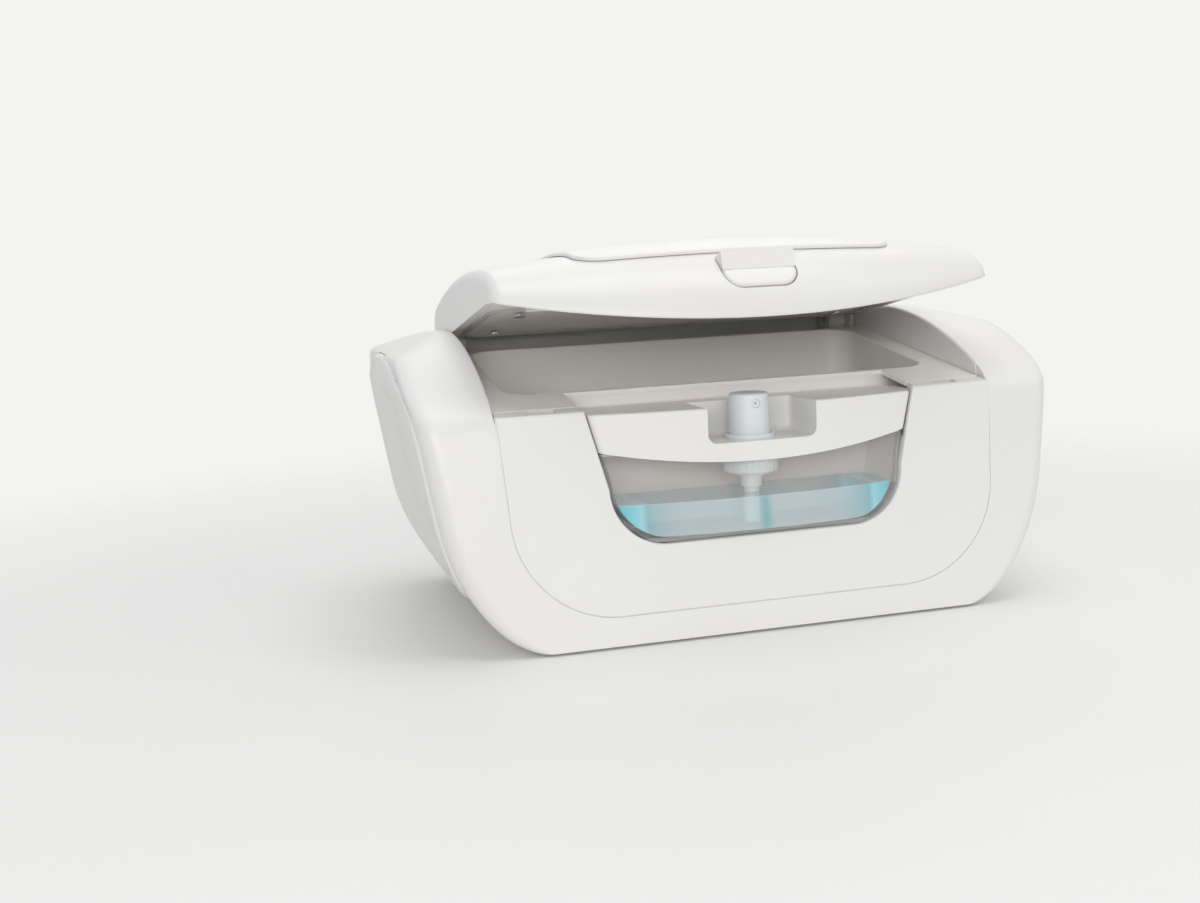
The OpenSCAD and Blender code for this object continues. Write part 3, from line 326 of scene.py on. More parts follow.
# Housing
def corner_arc(cx, cy, r, a0, z, n=14):
    a = np.radians(a0 + 90 * np.arange(n + 1) / n)
    return np.stack([cx + r * np.cos(a), cy + r * np.sin(a), np.full(n + 1, z)], 1)


def body_ring(z, t):
    zo = z + t * min(1, max(0, (z - BASE_ROUND) / (EAR_H - BASE_ROUND) * 2))
    y0, y1, hw = float(front_y(zo) + t), float(rear_y(zo) - t), float(half_w(zo) - t)
    r = min(CORNER_R, (y1 - y0) / 2 - 1)
    return np.concatenate([corner_arc(hw - r, y1 - r, r, 0, z), corner_arc(r - hw, y1 - r, r, 90, z),
                           corner_arc(r - hw, y0 + r, r, 180, z), corner_arc(hw - r, y0 + r, r, 270, z)])


def body_form(t, z0, z1, n=120):
    return loft("form", [body_ring(z0 + (z1 - z0) * (1 - cosd(180 * i / n)) / 2, t) for i in range(n + 1)])


CAP_LOW, CAP_HIGH, CAP_IN = 17.0, EAR_H - EAR_ROUND - 0.5, CORNER_R + 1.5


def cap_v(z): return 2 * (z - CAP_LOW) / (CAP_HIGH - CAP_LOW) - 1
def cap_mid(z): return (front_y(z) + rear_y(z)) / 2
def cap_half(z): return ((rear_y(z) - front_y(z)) / 2 - CAP_IN) * (1 - np.abs(cap_v(z)) ** 6) ** 0.36


def cap_levels(n):
    v = -np.cos(np.pi * (np.arange(n + 1) * 13 / n + 0.35) / 13.7)
    return CAP_LOW + (CAP_HIGH - CAP_LOW) * (v + 1) / 2


def side_cap_hole():
    z = cap_levels(72)
    dz = np.zeros(len(z))
    dz[0], dz[-1] = -SEAM, SEAM
    right = np.stack([cap_mid(z) + cap_half(z) + SEAM, z + dz], 1)
    left = np.stack([cap_mid(z) - cap_half(z) - SEAM, z + dz], 1)
    return prism(np.concatenate([right, left[::-1]]), BAY + 2 * SHELL_T, FAR, axis="X")


def panel_half(d, n=28):
    sz, sx = PANEL_LOW + PANEL_R, PANEL_W / 2 - 2.5
    a = -np.pi / 2 * np.arange(1, n + 1) / n
    top = [(PANEL_W / 2 + d, PANEL_TOP + max(0, d)), (sx + d, sz)]
    return np.concatenate([top, np.stack([sx - PANEL_R + (PANEL_R + d) * np.cos(a),
                                          sz + (PANEL_R + d) * np.sin(a)], 1)])


def outline(half, top=None):
    """Both halves of an outline that starts at its upper right corner."""
    half = half.copy()
    if top is not None:
        (x0, z0), (x1, z1) = half[0], half[1]
        half[0] = (x0 + (x0 - x1) / (z0 - z1) * (top - z0), top)
    return np.concatenate([half, (half * (-1, 1))[::-1]])


def window_half(d, n=28):
    sz, side = WIN_Z + WIN_R, WIN_LOW / 2 - d
    a = -np.pi / 2 * np.arange(1, n + 1) / n
    lean = (WIN_W - WIN_LOW) / 2 / (PANEL_TOP - sz)
    return np.concatenate([[(side + 30 * lean, sz + 30), (side, sz)],
                           np.stack([WIN_LOW / 2 - WIN_R + (WIN_R - d) * np.cos(a),
                                     sz + (WIN_R - d) * np.sin(a)], 1)])


def stepped(outlines, ys, frame_of):
    """A solid through flat outlines that stand one behind the other."""
    ob = loft("cutter", [np.stack([q[:, 0], np.full(len(q), y), q[:, 1]], 1) for q, y in zip(outlines, ys)])
    ob.data.transform(frame_of)
    return ob


def ear_limit(f=1.3):
    """What is left of the ears once their inner edges are rounded by f."""
    s = (1 - np.cos(np.pi * np.arange(91) / 90)) / 2
    zf, zr = 97 + 37 * s, 134 - 27 * s
    y = np.concatenate([front_y(zf), rear_y(zr)])
    z = np.concatenate([zf, zr])
    use = np.concatenate([[True], np.hypot(np.diff(y), np.diff(z)) > 0.03])
    y, z = y[use], z[use]
    dy, dz = np.gradient(y), np.gradient(z)
    k = np.hypot(dy, dz)
    ease = np.where(y < 0, np.clip((z - 99) / 5, 0, 1), np.clip((z - 110) / 5, 0, 1))
    ease = ease * ease * (3 - 2 * ease)

    def section(x, d):
        yy, zz = y + d * ease * dz / k, z - d * ease * dy / k
        side = [(y[-1] + 30, z[-1]), (y[-1] + 30, -20), (y[0] - 30, -20), (y[0] - 30, z[0])]
        return across(np.concatenate([np.stack([yy, zz], 1), side]), x)

    a = upto(90, 8)
    right = [(BAY + f * (1 - cos(t)), f * (1 - sin(t)) - 0.004) for t in a]
    right += [(BAY + f + 0.3, -0.3), (FAR, -0.3)]
    return loft("limit", [section(-x, d) for x, d in right[::-1]] + [section(x, d) for x, d in right])


def lid_bay():
    parts = [box((-BAY, -FAR, -2.5), (BAY, FAR, FAR), RIM),
             rod(TROUGH_R, -BAY - 0.3, BAY + 0.3, "X", (HINGE_Y, HINGE_Z), 160),
             box((-BAY, -FAR, PANEL_TOP - 1), (BAY, RIM_BACK, FAR)),
             box((-BAY, HINGE_Y, HINGE_Z - TROUGH_R), (BAY, FAR, FAR))]
    return parts


def base_area(d):
    return rect(d - BASE_W / 2, d - FRONT_D + 1, BASE_W / 2 - d, REAR_D - d - 1, 10, 10)


def outer_shell():
    hollow = body_form(SHELL_T, FLOOR_Z + 2.2, EAR_H - SHELL_T, 80)
    for s in (-1, 1):
        x = sorted((s * (BAY - 0.4), s * (BAY + 2.6)))
        led = sorted((s * (BAY - 7), s * (BAY + 2.6)))
        cut(hollow, box((x[0], -FAR, PANEL_TOP - 6), (x[1], FAR, FAR)),
            box((led[0], rim_u(-68), -5.1), (led[1], rim_u(TUB_REAR), -2.5), RIM))
    cut(hollow, rod(TROUGH_R + 2.2, -BAY - 1, BAY + 1, "X", (HINGE_Y, HINGE_Z), 160))
    ob = body_form(0, BASE_Z, EAR_H, 150)
    keep(ob, ear_limit())
    cut(ob, hollow, *lid_bay())
    face_cut = stepped([outline(panel_half(SEAM + 0.2), FAR), outline(panel_half(SEAM + 0.2), FAR),
                        outline(panel_half(SEAM + 0.06), FAR), outline(panel_half(SEAM), FAR),
                        outline(panel_half(SEAM), FAR)], [-12, 0, 0.12, 0.4, 12], FACE)
    right = side_cap_hole()
    cut(ob, face_cut, right, mirrored(right))
    cut(ob, prism(base_area(4.9), BASE_Z - 1, FLOOR_Z), prism(base_area(11), FLOOR_Z - 1, FLOOR_Z + 6))
    cut(ob, rod(JACK_HOLE / 2, REAR_D - 8, REAR_D + 4, "Y", (JACK_X, JACK_Z)))
    return ob


def smooth(t):
    t = np.clip(t, 0, 1)
    return t * t * (3 - 2 * t)


def side_cap():
    """A dished end plate. A rounded bead runs round its rim."""
    z = cap_levels(110)
    t = np.linspace(-1, 1, 91)
    u = np.sign(t) * (1 - (1 - np.abs(t)) ** 1.4)
    zz, uu = np.meshgrid(z, u, indexing="ij")
    y = cap_mid(zz) + cap_half(zz) * uu
    rim = cap_levels(400)
    rim_y = np.concatenate([cap_mid(rim) - cap_half(rim), cap_mid(rim) + cap_half(rim)])
    rim_z = np.concatenate([rim, rim])
    edge = np.sqrt(((y[..., None] - rim_y) ** 2 + (zz[..., None] - rim_z) ** 2).min(-1))
    edge = np.minimum(edge, np.minimum(zz - z[0], z[-1] - zz))
    roll = 0.8 * (1 - np.sqrt(1 - (1 - np.clip(edge / 1.0, 0, 1)) ** 2))
    bead = 0.9 * np.sin(np.pi * np.clip(edge / BEAD_W, 0, 1))
    dip = DISH_D * smooth((edge - BEAD_W * 0.6) / DISH_RUN)
    x = half_w(zz) + CAP_RISE + CAP_BULGE * (1 - uu ** 2) + bead - roll - dip
    rings = []
    for i in range(len(z)):
        face = np.stack([x[i], y[i], zz[i]], 1)
        back = np.stack([x[i] - SHELL_T, y[i], zz[i]], 1)[::-1]
        rings.append(np.concatenate([face, back]))
    return loft("cap", rings)


def front_panel():
    r, ys = 0.8, [0.0, 0.06, 0.2, 0.45, 0.8, PANEL_T]
    d = [-(r - sqrt(max(0, r * r - (r - min(y, r)) ** 2))) * 0.3 for y in ys]
    ob = stepped([outline(panel_half(v), 112) for v in d], ys, FACE)
    tongue = [outline(panel_half(v), 112) for v in (-0.2, SEAM - 0.02, SEAM - 0.02)]
    add(ob, stepped(tongue, [0.75, 0.75, PANEL_T], FACE))
    for s in (-1, 1):
        x = sorted((s * (WIN_W / 2 + 2), s * PANEL_W / 2))
        add(ob, box((x[0], rim_u(-80.6), -3.2), (x[1], rim_u(RIM_BACK), 6), RIM))
    k = tand(RIM_RISE)
    y = (-FRONT_D + SLOPE * (RIM_Z + PANEL_RIM + RIM_Y * k)) / (1 - SLOPE * k)
    side = rounded([(RIM_BACK, -10), (face_y(-10), -10), (y, rim_at(y) + PANEL_RIM),
                    (RIM_BACK, rim_at(RIM_BACK) + PANEL_RIM)], [0, 0, 1.5, 0.7], 8)
    keep(ob, prism(side, -FAR, FAR, axis="X"))
    flange = [outline(panel_half(v), 80.2) for v in (-1, -1, 3, 3)]
    add(ob, stepped(flange, [PANEL_T - 0.2, 3.2, 3.2, 4.6], FACE))
    g = [-1.2, -0.75, -0.42, -0.16, 0, 0]
    cut(ob, stepped([outline(window_half(v), FAR) for v in g], [-3, 0, 0.2, 0.5, 1.0, 12], FACE))
    for s in (-1, 1):
        cut(ob, prism(rect(s * SLOT_X - SLOT_W / 2, -77.6, s * SLOT_X + SLOT_W / 2, -71.8, 0.8, 5),
                      RIM_Z - 8, FAR))
    return ob


def base_plate():
    ob = prism(base_area(5), BASE_Z, FLOOR_Z - 0.1)
    for sx in (-1, 1):
        for y in FOOT_YS:
            cut(ob, rod(FOOT_D / 2, -1, BASE_Z + 1, at=(sx * FOOT_X, y)))
        for y in BASE_SCREW_YS:
            x = sx * BASE_SCREW_X
            cut(ob, rod(1.7, -1, FLOOR_Z + 1, at=(x, y), n=32), rod(3, -1, BASE_Z + 0.9, at=(x, y), n=48))
    for x, y in BOARD_POSTS:
        add(ob, rod(POST_R, FLOOR_Z - 0.3, FLOOR_Z + 7.9, at=(x, y), n=32))
    return ob


def foot(x, y):
    r = FOOT_D / 2 - 0.1
    return lathe("foot", [(0, 0.25), (r - 2.2, 0.25), (r - 2.0, 0), (r - 0.5, 0), (r - 0.15, 0.12), (r, 0.5),
                          (r, BASE_Z + 1), (0, BASE_Z + 1)], 64, (x, y))


def screw(x, y, z, length):
    """A cross-head screw that points up, with its head at z."""
    r = SCREW_D * 0.95
    body = [(0, z), (r - 0.35, z), (r - 0.08, z + 0.12), (r, z + 0.4), (r - 0.2, z + 0.8),
            (1.25, z + 0.85), (1.25, z + length), (0, z + length + 0.01)]
    ob = lathe("screw", body, 40, (x, y))
    for w, l in ((0.32, 1.3), (1.3, 0.32)):
        cut(ob, box((x - w, y - l, z - 0.5), (x + w, y + l, z + 0.5)))
    return ob


# Wipe compartment
WELL_HALF = CAP_W / 2 + 2


def wipe_tub():
    def rings(levels):
        return [level(rect(-TUB_W / 2 - g, -TUB_FRONT - g, TUB_W / 2 + g, TUB_REAR + g,
                           max(0.5, TUB_R + g), 14), z) for z, g in levels]

    a, r, t_r = upto(90, 8), 9.0, 9.0 + TUB_T
    outer = [(TUB_FLOOR - TUB_T + t_r * (1 - cos(t)), TUB_T - t_r * (1 - sin(t))) for t in a]
    ob = loft("tub", rings(outer + [(140, TUB_T)]))
    flange = prism(rect(-BAY + SEAM, rim_u(-71.2), BAY - SEAM, rim_u(HINGE_Y - TROUGH_R - 2.3), 1.5, 6),
                   TUB_RIM - TUB_T, 3, RIM)
    add(ob, flange)
    keep(ob, box((-FAR, -FAR, -FAR), (FAR, FAR, TUB_RIM), RIM))
    cut(ob, box((-WELL_HALF, -FAR, 40), (WELL_HALF, -TUB_FRONT - TUB_T - 1, FAR)))
    inner = [(TUB_FLOOR + r * (1 - cos(t)), -r * (1 - sin(t))) for t in a]
    cut(ob, loft("hole", rings(inner + [(140, 0)])))
    # the rounded upper edge of the compartment
    steps = []
    for t in upto(90, 5):
        g, w = 0.9 * (1 - cos(t)), TUB_RIM - 0.9 * (1 - sin(t))
        q = rect(-TUB_W / 2 - g, rim_u(-TUB_FRONT) - g, TUB_W / 2 + g, rim_u(TUB_REAR) + g, TUB_R + g, 14)
        steps.append(level(q, w))
    steps.append(steps[-1] + (0, 0, 2))
    edge = loft("edge", steps)
    edge.data.transform(RIM)
    cut(ob, edge)
    return ob


def tank_well():
    t, back = 1.8, -TUB_FRONT - TUB_T - 0.1
    low = WIN_Z + TANK_GAP - 0.3
    front = SLOPE * PANEL_TOP - FRONT_D + 4.7
    w = WELL_HALF + 0.1
    ob = prism(rect(-w - t, front, w + t, back, [1, 1, 3, 3], 6), low - t, CAP_Z)
    cut(ob, prism(rect(-w, -FAR, w, back - t, [0, 0, 2, 2], 6), low, FAR))
    cut(ob, box((-FAR, -FAR, -3.3), (FAR, FAR, FAR), RIM))
    return ob


# Water tank, its cap and the pump
CAP_HALF = CAP_W / 2
CAP_BOW_R = (CAP_HALF ** 2 + CAP_BOW ** 2) / (2 * CAP_BOW)
BOW_R = CAP_BOW_R + 20


def window_x(z, d):
    """Half width of the window at height z, drawn in by d."""
    sz = WIN_Z + WIN_R
    lean = (WIN_W - WIN_LOW) / 2 / (PANEL_TOP - sz)
    if z >= sz:
        return WIN_LOW / 2 - d + (z - sz) * lean
    return WIN_LOW / 2 - WIN_R + sqrt(max(0, (WIN_R - d) ** 2 - (sz - z) ** 2))


def section(half, radius, y_mid, back, corner, z):
    """A flat section with a bowed front, given by half its width, the bow and its rear face."""
    y = y_mid + radius - sqrt(radius ** 2 - half ** 2)
    slope = half / sqrt(radius ** 2 - half ** 2)
    a = (half - 12, y - 12 * slope)
    cr = rounded([a, (half, y), (half, back), (half - 12, back)], [0, corner, corner, 0], 8)[9:27]
    inner = np.linspace(-cr[0, 0] + 1e-3, cr[0, 0] - 1e-3, 70)[1:-1]
    arc = np.stack([inner, y_mid + radius - np.sqrt(radius ** 2 - inner ** 2)], 1)
    q = np.concatenate([arc, cr, (cr * (-1, 1))[::-1]])
    return level(q, z)


def tank_form(d, top, corner=2.5, foot_r=1.6):
    """The tank's form drawn in by d. Its front leans with the panel."""
    low = WIN_Z + TANK_GAP + d
    s = 1 - np.cos(np.pi / 2 * np.arange(25) / 24)
    side = WIN_Z + WIN_R
    z = np.concatenate([low + (side - low) * s, np.linspace(side, max(top, side + 1), 12)[1:]])
    z = np.concatenate([z[z < top - 0.2], [top]])
    rings = []
    for zz in z:
        y_mid = face_y(zz) - TANK_BOW + d / cosd(LEAN)
        lift = foot_r * quarter(np.clip(1 - (zz - low) / foot_r, 0, 1))
        rings.append(section(window_x(zz, TANK_GAP + d) - 0.5 * lift, BOW_R - d, float(y_mid + lift),
                             float(-TANK_BACK - d - lift), corner, zz))
    return loft("tank", rings)


def water_tank():
    ob = tank_form(0, TANK_RIM)
    return cut(ob, tank_form(TANK_T, TANK_RIM + 1, 1.2, 1.0))


def water():
    ob = tank_form(TANK_T + 0.05, WATER_Z, 1.2, 1.0)
    return cut(ob, rod(DIP_D / 2 + 0.05, WIN_Z + 3, FAR, at=(0, -PUMP_Y), n=64))


def tank_gasket():
    ob = keep(tank_form(0.3, 90), box((-FAR, -FAR, TANK_RIM), (FAR, FAR, TANK_RIM + GASKET_T)))
    return cut(ob, tank_form(TANK_T + 0.3, 92))


JET_DOWN = 4.4
CAP_FLOOR = TANK_RIM + GASKET_T
CAP_FRONT = FRONT_D - SLOPE * CAP_Z
NOTCH_Z = CAP_FLOOR + 2


def cap_form(d, z0, z1, top_r=0.0):
    z = list(np.linspace(z0, z1 - top_r, 14))
    draw = [0.0] * len(z)
    for t in upto(90, 7)[1:] if top_r else []:
        z.append(z1 - top_r * (1 - sin(t)))
        draw.append(top_r * (1 - cos(t)))
    rings = []
    for zz, g in zip(z, draw):
        e = d + g
        rings.append(section(min(CAP_HALF - e, window_x(zz, TANK_GAP + 0.1 + e)), CAP_BOW_R - e,
                             -CAP_FRONT - CAP_BOW + e, -(TANK_BACK - 0.5) - e, max(0.4, 3.5 - d), zz))
    return loft("cap", rings)


def notch_cutter(grow, z0, roll=0.0):
    h, back = NOTCH_W / 2, -NOTCH_BACK

    def ring(g, z):
        return level(rect(-h - g, -FAR, h + g, back + g, [0, 0, max(0.3, 2.6 + g), max(0.3, 2.6 + g)], 8), z)

    if not roll:
        return loft("notch", [ring(grow, z0), ring(grow, FAR)])
    rings = [ring(grow - NOTCH_R * (1 - sin(t)), z0 + NOTCH_R * (1 - cos(t))) for t in upto(90, 8)]
    rings += [ring(grow + roll * (1 - cos(t)), CAP_Z - roll * (1 - sin(t))) for t in upto(90, 6)]
    return loft("notch", rings + [ring(grow + roll + 0.01, FAR)])


def tank_cap():
    skirt_r = CAP_HALF ** 2 / (2 * SKIRT_RISE)
    ob = keep(cap_form(0, SKIRT_Z - 5, CAP_Z, 1.3),
              rod(skirt_r, -FAR, FAR, "Y", (0, SKIRT_Z + skirt_r), 1400))
    cut(ob, cap_form(CAP_T, SKIRT_Z - 9, CAP_FLOOR))
    cut(ob, box((-FAR, -NOTCH_BACK - 18, 0), (FAR, FAR, CAP_FLOOR)))
    cut(ob, cut(cap_form(CAP_T, NOTCH_Z, CAP_Z - CAP_T), notch_cutter(2, 0)))
    cut(ob, cut(cap_form(CAP_T + 7, CAP_FLOOR - 1, CAP_Z - CAP_T), notch_cutter(2, 0)))
    cut(ob, notch_cutter(0, NOTCH_Z, 0.9))
    cut(ob, rod(NOZZLE_D / 2 + 2.0, 0, FAR, at=(0, -PUMP_Y)))
    return ob


def pump_collar():
    neck, cup = NOZZLE_D / 2 + 1.9, NOZZLE_D / 2 + 0.3
    inner, low = BORE / 2 + 2.1, CAP_FLOOR - 3
    prof = rounded([(inner, COLLAR_Z), (COLLAR_D / 2, COLLAR_Z), (COLLAR_D / 2, CAP_FLOOR - 0.1),
                    (neck, CAP_FLOOR - 0.1), (neck, NOTCH_Z + 1.8), (cup, NOTCH_Z + 1.8), (cup, low),
                    (inner, low)], [0.2, 0.9, 0.6, 0, 0.7, 0.4, 0, 0], 5)
    ob = lathe("collar", prof, 120)
    for k in range(COLLAR_RIBS):
        a, r = 2 * pi * k / COLLAR_RIBS, COLLAR_D / 2 + 0.12
        cut(ob, rod(0.45, COLLAR_Z + 1.6, CAP_FLOOR - 1.4, at=(cos(a) * r, -PUMP_Y + sin(a) * r), n=10))
    return ob


def mist_nozzle():
    skirt, socket, r = NOTCH_Z + 0.1, NOZZLE_Z - 7, NOZZLE_D / 2
    prof = [(2.01, socket), (2.01, socket + 4.01), (0, socket + 4.01), (0, NOZZLE_Z)]
    prof += rounded([(0, NOZZLE_Z), (r - 0.5, NOZZLE_Z), (r, skirt)], [0, 1.5, 0], 7)[8:16].tolist()
    prof += [(r - 0.1, NOTCH_Z + 4.4), (r - 0.1, NOTCH_Z + 3.9), (r, NOTCH_Z + 3.8),
             (r, skirt), (r - 1.4, skirt), (r - 1.8, socket)]
    ob = lathe("nozzle", prof, 120)
    return cut(ob, rod(2.0, -PUMP_Y - 12, -PUMP_Y - (r - 2.5), "Y", (0, NOZZLE_Z - JET_DOWN), 48))


def nozzle_insert():
    front, z, r = NOZZLE_D / 2, NOZZLE_Z - JET_DOWN, 1.96
    prof = [(0.5, 6.75), (r, 6.75), (r, front - 0.95), (r - 0.3, front - 0.62), (1.1, front - 0.62),
            (0.75, front - 0.9), (0.5, front - 0.95)]
    a = np.arange(48) * 2 * pi / 48
    return loft("insert", [[(q * cos(t), -PUMP_Y - s, z + q * sin(t)) for q, s in prof] for t in a], True)


def dip_tube():
    r, low, top = DIP_D / 2, WIN_Z + TANK_GAP + TANK_T + 1, COLLAR_Z - 5.1
    ob = lathe("dip", [(r - 1, low), (r - 0.15, low), (r, low + 0.2), (r, top), (r - 1, top)], 64)
    return cut(ob, rod(1.4, -PUMP_Y - 9, -PUMP_Y + 9, "Y", (0, low - 0.3), 24))


# Lid, drawn shut
FACE_N, CROWN_N, BACK_N = 8, 6, 4
CROWN_FRONT, CROWN_BACK, CURL_END = -45.0, 66.0, -56.0
END_ROUND, END_WALL = 5.0, 4.0


def mid_share(x): return 1 - np.clip(x / LID_HALF, -1, 1) ** 2


def crown(x, y):
    return (CROWN_Z - CROWN_R + np.sqrt(CROWN_R ** 2 - (y - CROWN_Y) ** 2)
            - CROWN_DROP * (1 - mid_share(x)))


def crown_dir(y): return np.array([sqrt(CROWN_R ** 2 - (y - CROWN_Y) ** 2), CROWN_Y - y]) / CROWN_R


def bezier(a, b, c, d, t):
    t = np.asarray(t)[:, None]
    s = 1 - t
    return s ** 3 * a + 3 * s * s * t * b + 3 * s * t * t * c + t ** 3 * d


def lip(x): return LIP_FRONT - mid_share(x) * np.array([LIP_BOW, LIP_DROP])


def lid_points(x, t):
    """Points of the lid's outer line at x. t counts steps of the face, the crown, the back and the curl."""
    t = np.asarray(t, float)
    out = np.zeros((len(t), 2))
    s = float(mid_share(x))
    a, d = lip(x), np.array([CROWN_FRONT, float(crown(x, CROWN_FRONT))])
    b, c = a + (-1 - 4 * s, 11 + 9 * s), d - (22 + 23 * s) * crown_dir(CROWN_FRONT)
    m = t < FACE_N
    out[m] = bezier(a, b, c, d, t[m] / FACE_N)
    m = (t >= FACE_N) & (t < FACE_N + CROWN_N)
    y = CROWN_FRONT + (CROWN_BACK - CROWN_FRONT) * (t[m] - FACE_N) / CROWN_N
    out[m] = np.stack([y, crown(x, y)], 1)
    e, g = np.array([CROWN_BACK, float(crown(x, CROWN_BACK))]), np.array([HINGE_Y + KNUCKLE, HINGE_Z])
    m = (t >= FACE_N + CROWN_N) & (t < FACE_N + CROWN_N + BACK_N)
    out[m] = bezier(e, e + 13 * crown_dir(CROWN_BACK), np.array([g[0], HINGE_Z + 0.55 * (e[1] - HINGE_Z)]), g,
                    (t[m] - FACE_N - CROWN_N) / BACK_N)
    m = t >= FACE_N + CROWN_N + BACK_N
    ang = np.radians(CURL_END * (t[m] - FACE_N - CROWN_N - BACK_N) / 3)
    out[m] = np.stack([HINGE_Y + KNUCKLE * np.cos(ang), HINGE_Z + KNUCKLE * np.sin(ang)], 1)
    return out


def moved(line, d):
    """A line set off inwards by d, which may differ along it."""
    way = np.empty_like(line)
    way[1:-1] = line[2:] - line[:-2]
    way[0], way[-1] = line[1] - line[0], line[-1] - line[-2]
    way /= np.linalg.norm(way, axis=1)[:, None]
    return line + np.asarray(d)[..., None] * np.stack([way[:, 1], -way[:, 0]], 1)


LINE_T = np.concatenate([np.linspace(0.16, 8, 46)[:-1], np.linspace(8, 14, 30)[:-1],
                         np.linspace(14, 18, 30)[:-1], np.linspace(18, 21, 22)])


def end_draw(x):
    u = max(0.0, abs(x) - (LID_HALF - END_ROUND))
    return END_ROUND - sqrt(max(0.0, END_ROUND ** 2 - u * u))


def lid_ring(x, filled):
    d = end_draw(x)
    base = lid_points(x, LINE_T)
    outer = moved(base, d)
    a, b = outer[0], moved(base, max(LIP_T, d + 0.2))[0]
    mid, r = (a + b) / 2, float(np.linalg.norm(a - b)) / 2
    side = (a - b) / (2 * r)
    down = np.array([-side[1], side[0]])
    if down[1] > 0:
        down = -down
    ang = np.radians(np.arange(1, 12) * 15)
    tip = np.array([mid + r * (cos(t) * side + sin(t) * down) for t in ang])
    n = len(LINE_T)
    if filled:
        y0, y1 = b[0], HINGE_Y - KNUCKLE - 0.8
        k = n - 24
        ys = np.linspace(y0, y1, k)
        zs = rim_at(ys) + 0.4
        zs[0] = min(b[1], zs[0])
        t = np.radians(np.linspace(-172, CURL_END - 14, 24))
        curl = [HINGE_Y + (KNUCKLE - d) * np.cos(t), HINGE_Z + (KNUCKLE - d) * np.sin(t)]
        low = np.concatenate([np.stack([ys, zs], 1), np.stack(curl, 1)])
    else:
        low = moved(base, LIP_T + (LID_T - LIP_T) * np.clip((LINE_T - 0.16) / 1.5, 0, 1))
    return across(np.concatenate([outer[::-1], tip, low]), x)


def lid_shell():
    w = LID_HALF - END_WALL
    xs = [LID_HALF - END_ROUND + END_ROUND * sind(a) for a in range(90, 0, -9)]
    right = [(x, True) for x in xs if x > w + 0.05] + [(w, True), (w - 0.6, False), (w - 1.6, False)]
    cols = [(-x, f) for x, f in right] + [(x, False) for x in np.linspace(-w + 4, w - 4, 61)]
    cols += right[::-1]
    ob = loft("lid", [lid_ring(x, f) for x, f in cols])
    for s in (-1, 1):
        lo, hi = sorted((s * (LID_HALF - 13), s * (LID_HALF - END_WALL + 0.5)))
        add(ob, rod(7.5, lo, hi, "X", (HINGE_Y, HINGE_Z), 64))
        for y in LID_SCREW_YS:
            x = s * LID_SCREW_X
            add(ob, rod(3.7, rim_at(y) + 3.6, float(crown(x, y)) - 1.3, at=(x, y), n=40))
            cut(ob, rod(1.28, 0, rim_at(y) + 12, at=(x, y), n=24))
        lo, hi = sorted((s * (LID_HALF - 14), s * (LID_HALF + 1)))
        cut(ob, rod(PIN_D / 2 + 0.05, lo, hi, "X", (HINGE_Y, HINGE_Z), 64))
    cut(ob, prism(button_outline(0.5), -FAR, -86, axis="Y"))
    return ob


def button_outline(d):
    h, w = BUTTON_H / 2, BUTTON_W / 2
    mid = BUTTON_Z + h
    return rounded([(-w - d, mid - h - d), (w + d, mid - h - d), (w + d, mid + h + d), (-w - d, mid + h + d)],
                   [8 + d, 8 + d, 2.2 + d, 2.2 + d], 12)


def lid_front_y(x, z, out):
    """Depth of the lid's face at x and z, moved outwards by out."""
    line = moved(lid_points(x, np.linspace(0, FACE_N, 160)[:-1]), -out)
    return float(np.interp(z, line[:, 1], line[:, 0]))


def latch_button():
    """A tab with a rolled edge whose front follows the lid's face."""
    q = button_outline(0)
    mid = q.mean(0)
    r, rings = 1.7, []

    def drawn(g):
        w, low, high = BUTTON_W / 2 - g, BUTTON_Z + g, BUTTON_Z + BUTTON_H - g
        return rounded([(-w, low), (w, low), (w, high), (-w, high)],
                       [8 - g * 0.8, 8 - g * 0.8, max(0.6, 2.2 - g * 0.6), max(0.6, 2.2 - g * 0.6)], 12)

    rings.append(np.stack([q[:, 0], np.full(len(q), -91.5), q[:, 1]], 1))
    for t in upto(90, 7):
        g, back = r * (1 - sin(pi / 2 - t)), r * (1 - sin(t))
        p = drawn(g)
        rings.append(np.array([(x, lid_front_y(x, z, 0.8) + back, z) for x, z in p]))
    for f in (0.85, 0.7, 0.55, 0.4, 0.25, 0.1):
        p = mid + (drawn(r) - mid) * f
        rings.append(np.array([(x, lid_front_y(x, z, 0.8) + 0.9 * (1 - f) ** 1.5 * 0.35, z) for x, z in p]))
    ob = loft("button", rings)
    bar_z = NOZZLE_Z + 2.4
    top = prism(button_outline(0), -94, -88, axis="Y")
    keep(top, box((-FAR, -FAR, bar_z), (FAR, FAR, FAR)))
    add(ob, top)
    add(ob, box((-5, -92.5, bar_z + 0.1), (5, -76.4, bar_z + 3.5)))
    return ob


